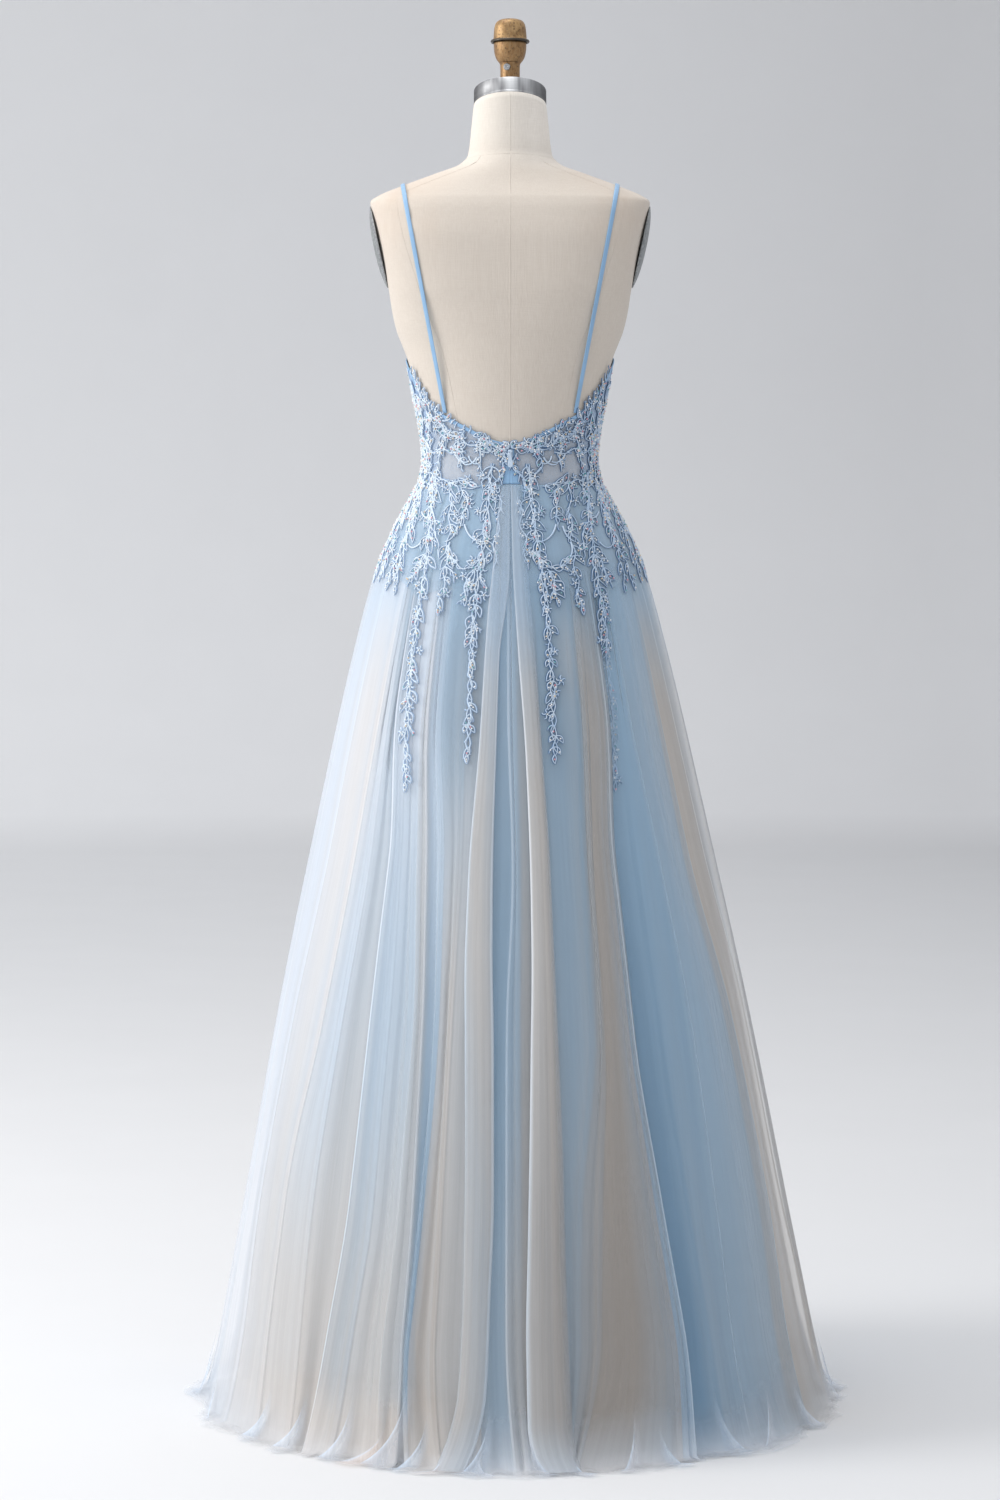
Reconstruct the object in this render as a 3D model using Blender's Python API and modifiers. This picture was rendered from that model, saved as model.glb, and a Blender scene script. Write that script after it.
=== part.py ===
"""Backless tulle ball gown with lace sprays, worn on a limbless dress form with a stand.

Metres, +Z up. The origin is on the floor, on the pole's axis. The form faces -Y, so its left is +X.
An angle round the gown is measured in degrees from the centre back (+Y), growing towards -X.
"""

import math

import bmesh
import bpy
from mathutils import Vector

for old in list(bpy.data.objects):
    bpy.data.objects.remove(old, do_unlink=True)

MM = 0.001
GAP = 0.3 * MM  # left between pieces that touch or are sewn edge to edge

# ---- Dress form -----------------------------------------------------------------------------------
# height, half width, depth in front of the pole axis, depth behind it, squareness of the section
FORM = (
    (0.870, 0.1460, 0.0880, 0.1000, 2.2),
    (0.885, 0.1570, 0.0970, 0.1130, 2.2),
    (0.930, 0.1630, 0.1030, 0.1200, 2.2),
    (0.980, 0.1630, 0.1050, 0.1210, 2.2),
    (1.040, 0.1510, 0.1010, 0.1120, 2.1),
    (1.100, 0.1330, 0.0950, 0.0980, 2.0),
    (1.160, 0.1144, 0.0880, 0.0865, 2.0),
    (1.175, 0.1103, 0.0868, 0.0835, 2.0),
    (1.190, 0.1078, 0.0862, 0.0812, 2.0),
    (1.205, 0.1080, 0.0872, 0.0802, 2.0),
    (1.220, 0.1094, 0.0895, 0.0800, 2.0),
    (1.257, 0.1160, 0.1000, 0.0820, 2.1),
    (1.290, 0.1235, 0.1150, 0.0850, 2.1),
    (1.320, 0.1297, 0.1275, 0.0880, 2.2),
    (1.338, 0.1365, 0.1310, 0.0900, 2.2),
    (1.355, 0.1432, 0.1310, 0.0920, 2.3),
    (1.380, 0.1490, 0.1265, 0.0940, 2.5),
    (1.407, 0.1530, 0.1180, 0.0960, 2.9),
    (1.461, 0.1640, 0.0980, 0.0960, 3.2),
    (1.500, 0.1725, 0.0820, 0.0900, 3.0),
    (1.516, 0.1762, 0.0740, 0.0840, 2.7),
    (1.523, 0.1680, 0.0700, 0.0790, 2.5),
    (1.536, 0.1380, 0.0620, 0.0700, 2.3),
    (1.551, 0.0980, 0.0540, 0.0620, 2.1),
    (1.564, 0.0640, 0.0490, 0.0560, 2.0),
    (1.576, 0.0530, 0.0460, 0.0500, 2.0),
    (1.615, 0.0482, 0.0455, 0.0460, 2.0),
    (1.638, 0.0457, 0.0440, 0.0440, 2.0),
)
FORM_SIDES = 30
FORM_BOTTOM = FORM[0][0]
NECK_TOP = FORM[-1][0]
NECK_TILT = math.radians(15.5)  # the nape side of the neck's top is the higher one
NECK_TILT_FROM = 1.564

NECK_CAP_RADIUS = 0.0457
NECK_CAP_HEIGHT = 0.020
# the finial stands upright on the tilted cap: height above the middle of the cap's top, radius
FINIAL_STEM = ((0.0000, 0.0150), (0.0080, 0.0130), (0.0320, 0.0124), (0.0342, 0.0135))
FINIAL_BOWL = ((0.0345, 0.0140), (0.0400, 0.0178), (0.0480, 0.0200), (0.0597, 0.0207))
FINIAL_CAP = (
    (0.0600, 0.0236), (0.0635, 0.0236), (0.0655, 0.0208), (0.0780, 0.0200), (0.0855, 0.0165),
    (0.0895, 0.0085),
)
FINIAL_SIDES = 18
FINIAL_SCREW_RADIUS = 0.0044
FINIAL_SCREW_LENGTH = 0.003
FINIAL_SCREW_HEIGHT = 0.0280  # above the middle of the cap's top
FINIAL_SCREW_TURN = math.radians(17)  # from the centre back towards +X

ARM_PLATE_RADIUS = 0.052
ARM_PLATE_WIDTH_SHARE = 0.76  # its width from front to back, as a share of its height
# domed profile: distance out from its flat face, share of the radius
ARM_PLATE_DOME = ((0.0000, 1.0), (0.0015, 1.0), (0.0050, 0.75), (0.0070, 0.40), (0.0075, 0.12))
ARM_PLATE_CENTRE = (0.1645, 0.0, 1.461)
ARM_PLATE_TILT = math.radians(12.1)  # its top leans outwards

POLE_RADIUS = 0.0125
BASE_RADIUS = 0.180
BASE_THICKNESS = 0.010
BASE_BOSS_RADIUS = 0.030
BASE_BOSS_TOP = 0.040

# ---- Skirt ----------------------------------------------------------------------------------------
# height, half width, depth in front, depth behind, fold depth, lining's inset from the fold crests
SKIRT = (
    (1.1597, 0.1184, 0.0920, 0.0905, 0.0000, 0.0021),
    (1.1400, 0.1290, 0.1020, 0.1010, 0.0006, 0.0030),
    (1.1050, 0.1490, 0.1210, 0.1220, 0.0020, 0.0050),
    (1.0665, 0.1670, 0.1380, 0.1410, 0.0035, 0.0070),
    (0.9700, 0.1950, 0.1620, 0.1760, 0.0060, 0.0100),
    (0.7040, 0.2565, 0.2270, 0.2490, 0.0130, 0.0170),
    (0.5170, 0.2970, 0.2710, 0.2970, 0.0180, 0.0220),
    (0.1930, 0.3600, 0.3440, 0.3730, 0.0270, 0.0320),
    (0.0400, 0.3920, 0.3760, 0.4060, 0.0340, 0.0400),
    (0.0000, 0.4040, 0.3880, 0.4200, 0.0350, 0.0400),
)
SKIRT_TOP = SKIRT[0][0]
SKIRT_LEAN = 0.010  # at the floor the skirt has swung this far towards -X
SKIRT_LEAN_POWER = 1.5  # above 1, so that most of it comes low down
TULLE = 1.8 * MM
LINING = 1.0 * MM
LINING_ROWS = SKIRT[:-1:2]  # every second row: the satin hangs straighter, and stops above the floor
LINING_GORES = 6
LINING_STEPS = 5  # columns in one gore of the lining

# tulle folds round the skirt, in order: angle of the crest in degrees, how far the crest lies back,
# how deep the trough behind it is. Both are shares of the fold depth at that height.
FOLDS = (
    (-86.0, 0.00, 1.00), (-76.0, 0.12, 0.85), (-66.0, 0.00, 1.00), (-55.0, 0.10, 0.90), (-45.0, 0.00, 0.95),
    (-35.5, 0.15, 0.70), (-28.5, 0.05, 0.85), (-20.5, 0.00, 1.00), (-11.5, 0.20, 0.80), (-1.0, 0.15, 0.80),
    (8.5, 0.20, 0.85), (17.5, 0.05, 0.95), (26.0, 0.10, 0.80), (33.5, 0.00, 1.00), (42.5, 0.15, 0.90),
    (51.5, 0.00, 0.95), (63.0, 0.10, 1.00), (76.0, 0.00, 1.00), (87.5, 0.10, 0.90), (98.0, 0.00, 1.00),
    (109.0, 0.15, 0.85), (118.5, 0.00, 1.00), (129.5, 0.05, 0.90), (140.5, 0.00, 0.80), (149.5, 0.15, 1.00),
    (161.0, 0.00, 0.95), (171.0, 0.10, 0.85), (181.0, 0.00, 0.95), (192.5, 0.15, 0.90), (202.0, 0.00, 1.00),
    (212.5, 0.05, 0.80), (223.5, 0.00, 0.95), (233.0, 0.15, 1.00), (244.5, 0.00, 0.85), (254.0, 0.10, 0.95),
    (264.0, 0.00, 0.90),
)
FOLDS_IN_GORE = 3
FOLD_LANDINGS = (0.34, 0.68)  # where a trough starts and ends, from the crest nearer to the centre back

# the two turned-back tulle flaps that fall from the zip: height, then the near and far edge in degrees
# from the centre back, for the flap on the wearer's left and for the one on the right
FLAPS = (
    (1.1597, 0.2, 5.6, 0.2, 6.0),
    (1.1400, 0.2, 6.0, 0.3, 6.4),
    (1.1050, 0.2, 6.6, 0.5, 6.8),
    (1.0665, 0.3, 7.2, 0.8, 7.2),
    (0.9700, 3.4, 8.9, 2.6, 8.4),
    (0.7040, 5.2, 11.7, 4.6, 10.1),
    (0.5170, 4.9, 11.7, 4.2, 10.0),
    (0.1930, 5.0, 10.3, 1.9, 9.4),
    (0.0400, 5.6, 10.8, 1.4, 9.1),
    (0.0000, 5.7, 11.2, 1.3, 9.2),
)
FLAP_STEPS = 4
FLAP_LIFT = 0.5 * MM  # of a flap's underside over the fold crests
FLAP_THICKNESS = 1.4 * MM
FLAP_BULGE = 0.35  # share of the fold depth that the middle of a flap stands out by

# ---- Bodice ---------------------------------------------------------------------------------------
WAIST = 1.160
BODICE_INSIDE = 1.0 * MM  # off the form
BODICE_OUTSIDE = 2.6 * MM
CUP_ANGLE = 146.0
CUP_HEIGHT = 1.335
CUP_REACH = 0.100  # above and below that height
CUP_EASE = 2.5 * MM  # the front panels stand this much further off at the fullest place
CUP_RISE = 1.6  # over 1, so that the full ease holds some way round that place
BODICE_ROWS = 10
BODICE_STEP = 12.0  # degrees between columns
# angle from the centre back, height of the bodice's top edge there
TOP_EDGE = (
    (0, 1.209), (12, 1.215), (24, 1.226), (36, 1.238), (48, 1.250), (62, 1.272), (76, 1.298), (90, 1.318),
    (108, 1.326), (126, 1.342), (142, 1.368), (152, 1.374), (162, 1.352), (172, 1.310), (180, 1.286),
)
BACK_TO_SIDE = 62.0  # seams, in degrees from the centre back
SIDE_TO_FRONT = 104.0
PLACKET_TOP = 1.189  # below this height the back edges part round the blue zip placket
PLACKET_HALF_ANGLE = 6.4  # at the waist
PLACKET_SHORT = 5.0 * MM  # its tip lies this far below where the back edges meet
PLACKET_CLEAR_ANGLE = 0.2  # between it and each back edge
PLACKET_ROWS = 4

SHOULDER_LINE = 1.515  # above this height the form's sections get smaller again
STRAP_HALF_WIDTH = 2.8 * MM
STRAP_THICKNESS = 1.4 * MM
STRAP_OFF_FORM = 0.9 * MM
STRAP_BACK_END = (0.0805, 44.5)  # distance from the centre plane, angle of the top edge there
STRAP_SHOULDER = 0.1346
STRAP_FRONT_END = (0.076, 147.0)
STRAP_POINTS = 18  # in each leg, from the shoulder to one end
STRAP_CROWDING = 2.2  # crowds those points towards the shoulder
STRAP_END_LIFT = 3.4 * MM  # of its lower ends over the bodice's top edge

SLIDER_SIZE = (5.6 * MM, 2.2 * MM, 9.0 * MM)
SLIDER_HEIGHT = 1.1985
SLIDER_LIFT = 1.1 * MM  # of its underside over the bodice
LUG_SIZE = (1.1 * MM, 3.2 * MM, 2.6 * MM)
LUG_OFFSET = 2.1 * MM  # to each side of the centre plane
LUG_SUNK = 0.8 * MM  # into the slider
TAB_AXIS_OFF = 1.4 * MM  # off the slider's face
TAB_AXIS_UP = 2.0 * MM  # above the slider's middle
TAB_THICKNESS = 1.2 * MM
# outline of the pull tab: distance below its axis, half width
TAB_OUTLINE = (
    (-0.9 * MM, 0.6 * MM), (-0.3 * MM, 1.2 * MM), (2.6 * MM, 1.2 * MM), (9.0 * MM, 2.3 * MM),
    (15.5 * MM, 3.4 * MM), (18.2 * MM, 2.7 * MM), (19.4 * MM, 1.2 * MM),
)

# ---- Lace -----------------------------------------------------------------------------------------
LACE_LIFT = 0.9 * MM  # of a spray's underside over the cloth
LACE_THICKNESS = 1.0 * MM
STEM_HALF_WIDTH = 0.8 * MM
LEAF_ANGLE = math.radians(46)
LEAF_BELLY = 0.48  # its widest place, as a share of its length
LEAF_SHORTER = 0.72  # the shorter leaf of a pair, as a share of the longer
LEAF_TAPER = 0.3  # how much shorter the last pair of a spray is than the first
LEAF_HALF_WIDTH = 3.1 * MM
LEAF_BASE = 3.4 * MM  # length of stem that carries a pair of leaves
# sprays, each built on both sides: name, angle of the middle that they are measured from, then start,
# bend and end as (distance round from that middle, height), pairs of leaves, length of the longest leaf
SPRAYS = (
    ("neckline", 0, (0.020, 1.201), (0.080, 1.224), (0.146, 1.284), 8, 0.016),
    ("midriff", 0, (0.052, 1.190), (0.100, 1.193), (0.158, 1.234), 5, 0.014),
    ("cascade_inner", 0, (0.026, 1.186), (0.052, 1.000), (0.057, 0.842), 14, 0.018),
    ("hip", 0, (0.079, 1.166), (0.080, 1.090), (0.092, 1.010), 6, 0.018),
    ("cascade_outer", 0, (0.115, 1.176), (0.112, 0.990), (0.138, 0.795), 15, 0.018),
    ("side", 0, (0.157, 1.198), (0.150, 1.120), (0.182, 1.040), 6, 0.018),
    ("flank", 0, (0.200, 1.240), (0.194, 1.150), (0.234, 1.050), 6, 0.018),
    ("front_hip", 180, (0.098, 1.210), (0.112, 1.140), (0.180, 1.050), 5, 0.018),
    ("front_centre", 180, (0.034, 1.222), (0.048, 1.115), (0.076, 1.000), 8, 0.018),
)

BLUE_TULLE = ("blue tulle", (0.62, 0.74, 0.88), 0.75, 0.0)
BEIGE_TULLE = ("beige tulle", (0.78, 0.75, 0.74), 0.75, 0.0)
BLUE_SATIN = ("blue satin", (0.50, 0.68, 0.86), 0.40, 0.0)
SHEER_NET = ("bodice net", (0.66, 0.77, 0.88), 0.80, 0.0)
LACE_CORD = ("lace cord", (0.60, 0.72, 0.86), 0.60, 0.0)
LINEN = ("cream linen", (0.83, 0.79, 0.71), 0.85, 0.0)
BRUSHED_STEEL = ("brushed steel", (0.62, 0.63, 0.64), 0.35, 1.0)
AGED_BRASS = ("aged brass", (0.45, 0.31, 0.15), 0.40, 1.0)
GREY_ENAMEL = ("grey enamel", (0.38, 0.40, 0.41), 0.60, 0.0)
ZIP_ENAMEL = ("zip enamel", (0.74, 0.82, 0.92), 0.30, 0.0)


# ---- Helpers --------------------------------------------------------------------------------------
part = bpy.data.collections.new("ball_gown_on_form")
bpy.context.scene.collection.children.link(part)
cutters = bpy.data.collections.new("cutters")
bpy.context.scene.collection.children.link(cutters)


def material(finish):
    """The material with this (name, colour, roughness, metallic), made once."""
    name, colour, roughness, metallic = finish
    found = bpy.data.materials.get(name)
    if found:
        return found
    made = bpy.data.materials.new(name)
    made.use_nodes = True
    shader = made.node_tree.nodes["Principled BSDF"]
    shader.inputs["Base Color"].default_value = (*colour, 1.0)
    shader.inputs["Roughness"].default_value = roughness
    shader.inputs["Metallic"].default_value = metallic
    return made


def add(name, mesh, finish, smooth=True):
    """An object of this mesh in the part's collection."""
    mesh.materials.append(material(finish))
    if smooth:
        mesh.shade_smooth()
        mesh.set_sharp_from_angle(angle=math.radians(40))
    made = bpy.data.objects.new(name, mesh)
    part.objects.link(made)
    return made


def mesh_of(name, shape):
    """A mesh datablock of a bmesh, with the faces turned outwards by the caller."""
    mesh = bpy.data.meshes.new(name)
    shape.to_mesh(mesh)
    shape.free()
    return mesh


def between(rows, at):
    """The row at this first value, worked out straight between the nearest two rows."""
    rows = sorted(rows)
    at = min(max(at, rows[0][0]), rows[-1][0])
    for low, high in zip(rows, rows[1:]):
        if at <= high[0]:
            share = (at - low[0]) / (high[0] - low[0])
            return tuple(a + (b - a) * share for a, b in zip(low, high))


def loft(name, rings, finish):
    """A solid skinned over closed rings of points, with flat ends."""
    shape = bmesh.new()
    made = [[shape.verts.new(point) for point in ring] for ring in rings]
    for low, high in zip(made, made[1:]):
        for i in range(len(low)):
            j = (i + 1) % len(low)
            shape.faces.new((low[i], low[j], high[j], high[i]))
    shape.faces.new(made[0])
    shape.faces.new(made[-1])
    bmesh.ops.recalc_face_normals(shape, faces=shape.faces)
    return add(name, mesh_of(name, shape), finish)


def wall(name, outside, inside, finish):
    """A sheet of cloth between two grids of points, a list of rows each, closed round its edges."""
    shape = bmesh.new()
    out = [[shape.verts.new(point) for point in row] for row in outside]
    back = [[shape.verts.new(point) for point in row] for row in inside]
    last_row = len(out) - 1
    last = len(out[0]) - 1
    for grid in (out, back):
        for low, high in zip(grid, grid[1:]):
            for i in range(last):
                shape.faces.new((low[i], low[i + 1], high[i + 1], high[i]))
    for i in range(last):
        for row in (0, last_row):
            shape.faces.new((out[row][i], out[row][i + 1], back[row][i + 1], back[row][i]))
    for row in range(last_row):
        for i in (0, last):
            shape.faces.new((out[row][i], out[row + 1][i], back[row + 1][i], back[row][i]))
    bmesh.ops.recalc_face_normals(shape, faces=shape.faces)
    return add(name, mesh_of(name, shape), finish)


def turned(name, profile, finish, parent=None, sides=32):
    """A solid turned round Z from (height, radius) rows, listed from the bottom up."""
    points = [(0.0, 0.0, profile[-1][0])]
    points += [(radius, 0.0, height) for height, radius in reversed(profile)]
    points += [(0.0, 0.0, profile[0][0])]
    mesh = bpy.data.meshes.new(name)
    mesh.from_pydata(points, [(i, i + 1) for i in range(len(points) - 1)], [])
    made = add(name, mesh, finish, smooth=False)
    spin = made.modifiers.new("turn", "SCREW")
    spin.axis = "Z"
    spin.steps = spin.render_steps = sides
    spin.use_merge_vertices = True
    spin.merge_threshold = 0.00001
    spin.use_smooth_shade = True
    made.parent = parent
    return made


def block(name, size, location, finish):
    """A box with its centre at this place."""
    shape = bmesh.new()
    bmesh.ops.create_cube(shape, size=1.0)
    bmesh.ops.scale(shape, vec=size, verts=shape.verts)
    made = add(name, mesh_of(name, shape), finish, smooth=False)
    made.location = location
    return made


# ---- Surfaces that the pieces are laid on -----------------------------------------------------------
def section_point(angle, half_width, front, back, squareness=2.0):
    """The point of a rounded section at this angle in degrees, as (x, y)."""
    turn = math.radians(angle)
    across, along = math.sin(turn), math.cos(turn)
    power = 2.0 / squareness
    x = -half_width * math.copysign(abs(across) ** power, across)
    y = (back if along > 0 else front) * math.copysign(abs(along) ** power, along)
    return x, y


def form_point(angle, height, lift=0.0):
    """A point on the dress form, moved out by lift."""
    _, half_width, front, back, squareness = between(FORM, height)
    x, y = section_point(angle, half_width + lift, front + lift, back + lift, squareness)
    tilt = max(0.0, (height - NECK_TILT_FROM) / (NECK_TOP - NECK_TILT_FROM)) * math.tan(NECK_TILT)
    return Vector((x, y, height + y * tilt))


def skirt_point(angle, row, inset=0.0):
    """A point inset from the crests of the tulle, in this row of SKIRT."""
    height, half_width, front, back = row[:4]
    x, y = section_point(angle, half_width - inset, front - inset, back - inset)
    lean = SKIRT_LEAN * (1 - height / SKIRT_TOP) ** SKIRT_LEAN_POWER
    return Vector((x - lean, y, height))


def top_edge(angle):
    """Height of the bodice's top edge at this angle."""
    return between(TOP_EDGE, abs(angle))[1]


def cup_ease(angle, height):
    """How much further off the form the cloth is over the bust."""
    from_back = abs((angle + 180.0) % 360.0 - 180.0)
    across = max(0.0, 1 - abs(from_back - CUP_ANGLE) / (CUP_ANGLE - SIDE_TO_FRONT))
    up = max(0.0, 1 - abs(height - CUP_HEIGHT) / CUP_REACH)
    return CUP_EASE * min(1.0, CUP_RISE * across) * min(1.0, CUP_RISE * up)


def bodice_point(angle, height, lift):
    """A point over the form where the bodice lies, moved out by lift."""
    return form_point(angle, height, lift + cup_ease(angle, height))


def lace_point(middle, around, height, lift):
    """A point on the gown, moved out by lift, at a distance round from the middle of the back or front."""
    if height < WAIST:
        row = between(SKIRT, height)
        return skirt_point(middle + math.degrees(around / row[1]), row, -lift)
    angle = middle + math.degrees(around / between(FORM, height)[1])
    return bodice_point(angle, height, BODICE_OUTSIDE + lift)


# ---- Dress form and stand ---------------------------------------------------------------------------
def build_form():
    rings = []
    for row in FORM:
        rings.append([form_point(360.0 * i / FORM_SIDES, row[0]) for i in range(FORM_SIDES)])
    loft("form_torso", rings, LINEN)
    dome = [(height, share * ARM_PLATE_RADIUS) for height, share in ARM_PLATE_DOME]
    for side, sign in (("left", 1), ("right", -1)):
        plate = turned(f"form_arm_plate_{side}", dome, GREY_ENAMEL, sides=20)
        x, y, z = ARM_PLATE_CENTRE
        plate.location = (sign * x, y, z)
        plate.rotation_euler = (0.0, sign * (math.pi / 2 + ARM_PLATE_TILT), 0.0)
        plate.scale = (1.0, ARM_PLATE_WIDTH_SHARE, 1.0)


def build_neck():
    """The tilted cap on the neck, and the finial upright on it with its stem cut to the cap's slope."""
    neck = bpy.data.objects.new("neck_frame", None)
    neck.location = (0.0, 0.0, NECK_TOP + GAP)
    neck.rotation_euler = (NECK_TILT, 0.0, 0.0)
    part.objects.link(neck)
    rim = NECK_CAP_RADIUS
    cap = ((0.0, rim), (NECK_CAP_HEIGHT - 1.5 * MM, rim), (NECK_CAP_HEIGHT, rim - 1.5 * MM))
    turned("form_neck_cap", cap, BRUSHED_STEEL, neck, sides=FORM_SIDES)
    up = NECK_CAP_HEIGHT + GAP
    seat = bpy.data.objects.new("finial_frame", None)
    seat.location = (0.0, -up * math.sin(NECK_TILT), NECK_TOP + GAP + up * math.cos(NECK_TILT))
    part.objects.link(seat)
    rings = []
    for height, radius in FINIAL_STEM:
        slope = math.tan(NECK_TILT) if height == FINIAL_STEM[0][0] else 0.0
        ring = []
        for i in range(FINIAL_SIDES):
            turn = 2 * math.pi * i / FINIAL_SIDES
            x, y = -radius * math.sin(turn), radius * math.cos(turn)
            ring.append(Vector((x, y, height + y * slope)))
        rings.append(ring)
    loft("finial_stem", rings, AGED_BRASS).parent = seat
    for name, profile in (("finial_bowl", FINIAL_BOWL), ("finial_cap", FINIAL_CAP)):
        turned(name, profile, AGED_BRASS, seat, sides=FINIAL_SIDES)
    shape = bmesh.new()
    bmesh.ops.create_cone(
        shape, cap_ends=True, segments=12, radius1=FINIAL_SCREW_RADIUS, radius2=FINIAL_SCREW_RADIUS,
        depth=FINIAL_SCREW_LENGTH,
    )
    screw = add("finial_screw", mesh_of("finial_screw", shape), BRUSHED_STEEL)
    out = between(FINIAL_STEM, FINIAL_SCREW_HEIGHT - FINIAL_SCREW_RADIUS)[1] + GAP + FINIAL_SCREW_LENGTH / 2
    screw.parent = seat
    screw.location = (out * math.sin(FINIAL_SCREW_TURN), out * math.cos(FINIAL_SCREW_TURN), FINIAL_SCREW_HEIGHT)
    screw.rotation_euler = (math.pi / 2, 0.0, -FINIAL_SCREW_TURN)


def build_stand():
    edge = 3 * MM
    plate = (
        (0.0, BASE_RADIUS), (BASE_THICKNESS - edge, BASE_RADIUS), (BASE_THICKNESS, BASE_RADIUS - edge),
        (BASE_THICKNESS + 2 * edge, BASE_BOSS_RADIUS + edge), (BASE_BOSS_TOP, BASE_BOSS_RADIUS - edge),
    )
    turned("stand_base", plate, BRUSHED_STEEL, sides=36)
    pole = ((BASE_BOSS_TOP + GAP, POLE_RADIUS), (FORM_BOTTOM - GAP, POLE_RADIUS))
    turned("stand_pole", pole, BRUSHED_STEEL, sides=16)


# ---- Skirt ------------------------------------------------------------------------------------------
def fold_columns():
    """(angle, share of the fold depth) of each column round the tulle, three to a fold."""
    columns = []
    for i, (crest, crest_back, trough) in enumerate(FOLDS):
        following = FOLDS[(i + 1) % len(FOLDS)][0]
        if following < crest:
            following += 360.0
        near, far = FOLD_LANDINGS
        if not 0.0 <= crest < 180.0:
            near, far = 1 - far, 1 - near
        columns.append((crest, crest_back))
        columns += [(crest + share * (following - crest), trough) for share in (near, far)]
    return columns


def moved_in(angle, direction, row):
    """An edge's angle, moved by half the gap of a seam."""
    return angle + direction * math.degrees(0.5 * GAP / min(row[1], row[2], row[3]))


def build_tulle():
    columns = fold_columns()
    count = 3 * FOLDS_IN_GORE
    for gore in range(len(FOLDS) // FOLDS_IN_GORE):
        # a gore runs from the end of one trough to the end of the trough three folds on
        picked = [columns[(gore * count - 1 + i) % len(columns)] for i in range(count + 1)]
        outside, inside = [], []
        for row in SKIRT:
            angles = [angle for angle, _ in picked]
            angles[0] = moved_in(angles[0], 1, row)
            angles[-1] = moved_in(angles[-1], -1, row)
            depths = [share * row[4] for _, share in picked]
            outside.append([skirt_point(a, row, d) for a, d in zip(angles, depths)])
            inside.append([skirt_point(a, row, d + TULLE) for a, d in zip(angles, depths)])
        finish = BLUE_TULLE if gore % 2 else BEIGE_TULLE
        wall(f"tulle_gore_{gore + 1:02d}", outside, inside, finish)


def build_lining():
    width = 360.0 / LINING_GORES
    for gore in range(LINING_GORES):
        outside, inside = [], []
        for row in LINING_ROWS:
            first = moved_in(gore * width, 1, row)
            step = (moved_in((gore + 1) * width, -1, row) - first) / LINING_STEPS
            angles = [first + i * step for i in range(LINING_STEPS + 1)]
            outside.append([skirt_point(a, row, row[5]) for a in angles])
            inside.append([skirt_point(a, row, row[5] + LINING) for a in angles])
        wall(f"lining_gore_{gore + 1}", outside, inside, BLUE_SATIN)


def build_flaps():
    for side, sign, near, far in (("left", -1, 1, 2), ("right", 1, 3, 4)):
        outside, inside = [], []
        for row, edges in zip(SKIRT, FLAPS):
            out_row, in_row = [], []
            for i in range(FLAP_STEPS + 1):
                share = i / FLAP_STEPS
                angle = sign * (edges[near] + (edges[far] - edges[near]) * share)
                under = FLAP_LIFT + FLAP_BULGE * row[4] * math.sin(math.pi * share)
                out_row.append(skirt_point(angle, row, -under - FLAP_THICKNESS))
                in_row.append(skirt_point(angle, row, -under))
            outside.append(out_row)
            inside.append(in_row)
        wall(f"back_flap_{side}", outside, inside, BEIGE_TULLE)


# ---- Bodice -----------------------------------------------------------------------------------------
def placket_edge(height):
    """Angle of the back panels' centre edge, which parts below the top of the placket."""
    return PLACKET_HALF_ANGLE * max(0.0, PLACKET_TOP - height) / (PLACKET_TOP - WAIST)


def build_bodice():
    panels = (
        ("back", 0.0, BACK_TO_SIDE),
        ("side", BACK_TO_SIDE, SIDE_TO_FRONT),
        ("front", SIDE_TO_FRONT, 180.0),
    )
    seam = moved_in(0.0, 1, between(FORM, PLACKET_TOP))
    for piece, first, last in panels:
        steps = math.ceil((last - first) / BODICE_STEP)
        for side, sign in (("left", -1), ("right", 1)):
            outside, inside = [], []
            for row in range(BODICE_ROWS):
                out_row, in_row = [], []
                for i in range(steps + 1):
                    share = i / steps
                    angle = first + seam + (last - first - 2 * seam) * share
                    height = WAIST + (top_edge(angle) - WAIST) * row / (BODICE_ROWS - 1)
                    if piece == "back":
                        angle += placket_edge(height) * (1 - share) ** 2
                    out_row.append(bodice_point(sign * angle, height, BODICE_OUTSIDE))
                    in_row.append(bodice_point(sign * angle, height, BODICE_INSIDE))
                outside.append(out_row)
                inside.append(in_row)
            wall(f"bodice_{piece}_{side}", outside, inside, SHEER_NET)


def build_placket():
    outside, inside = [], []
    for row in range(PLACKET_ROWS):
        height = WAIST + (PLACKET_TOP - PLACKET_SHORT - WAIST) * row / (PLACKET_ROWS - 1)
        edge = placket_edge(height) - PLACKET_CLEAR_ANGLE
        angles = (-edge, 0.0, edge)
        outside.append([form_point(angle, height, BODICE_OUTSIDE) for angle in angles])
        inside.append([form_point(angle, height, BODICE_INSIDE) for angle in angles])
    wall("zip_placket", outside, inside, BLUE_SATIN)


def strap_leg(start_x, start_height, end_x, end_height, front):
    """Points over the form's surface from the shoulder down to one end of a strap."""
    points = []
    for i in range(STRAP_POINTS):
        share = i / (STRAP_POINTS - 1)
        down = share ** STRAP_CROWDING
        height = start_height + (end_height - start_height) * down
        x = start_x + (end_x - start_x) * down
        _, half_width, ahead, behind, squareness = between(FORM, height)
        depth = ahead if front else behind
        reach = max(0.0, 1 - (x / half_width) ** squareness) ** (1 / squareness) * depth
        points.append(Vector((x, -reach if front else reach, height)))
    return points


def pulled_tight(points):
    """The points that a taut ribbon over these would touch, seen from the side."""
    kept = []
    for point in points:
        while len(kept) > 1:
            a, b = kept[-2], kept[-1]
            turn = (b.y - a.y) * (point.z - a.z) - (b.z - a.z) * (point.y - a.y)
            if turn < 0:
                break
            kept.pop()
        kept.append(point)
    return kept


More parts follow.
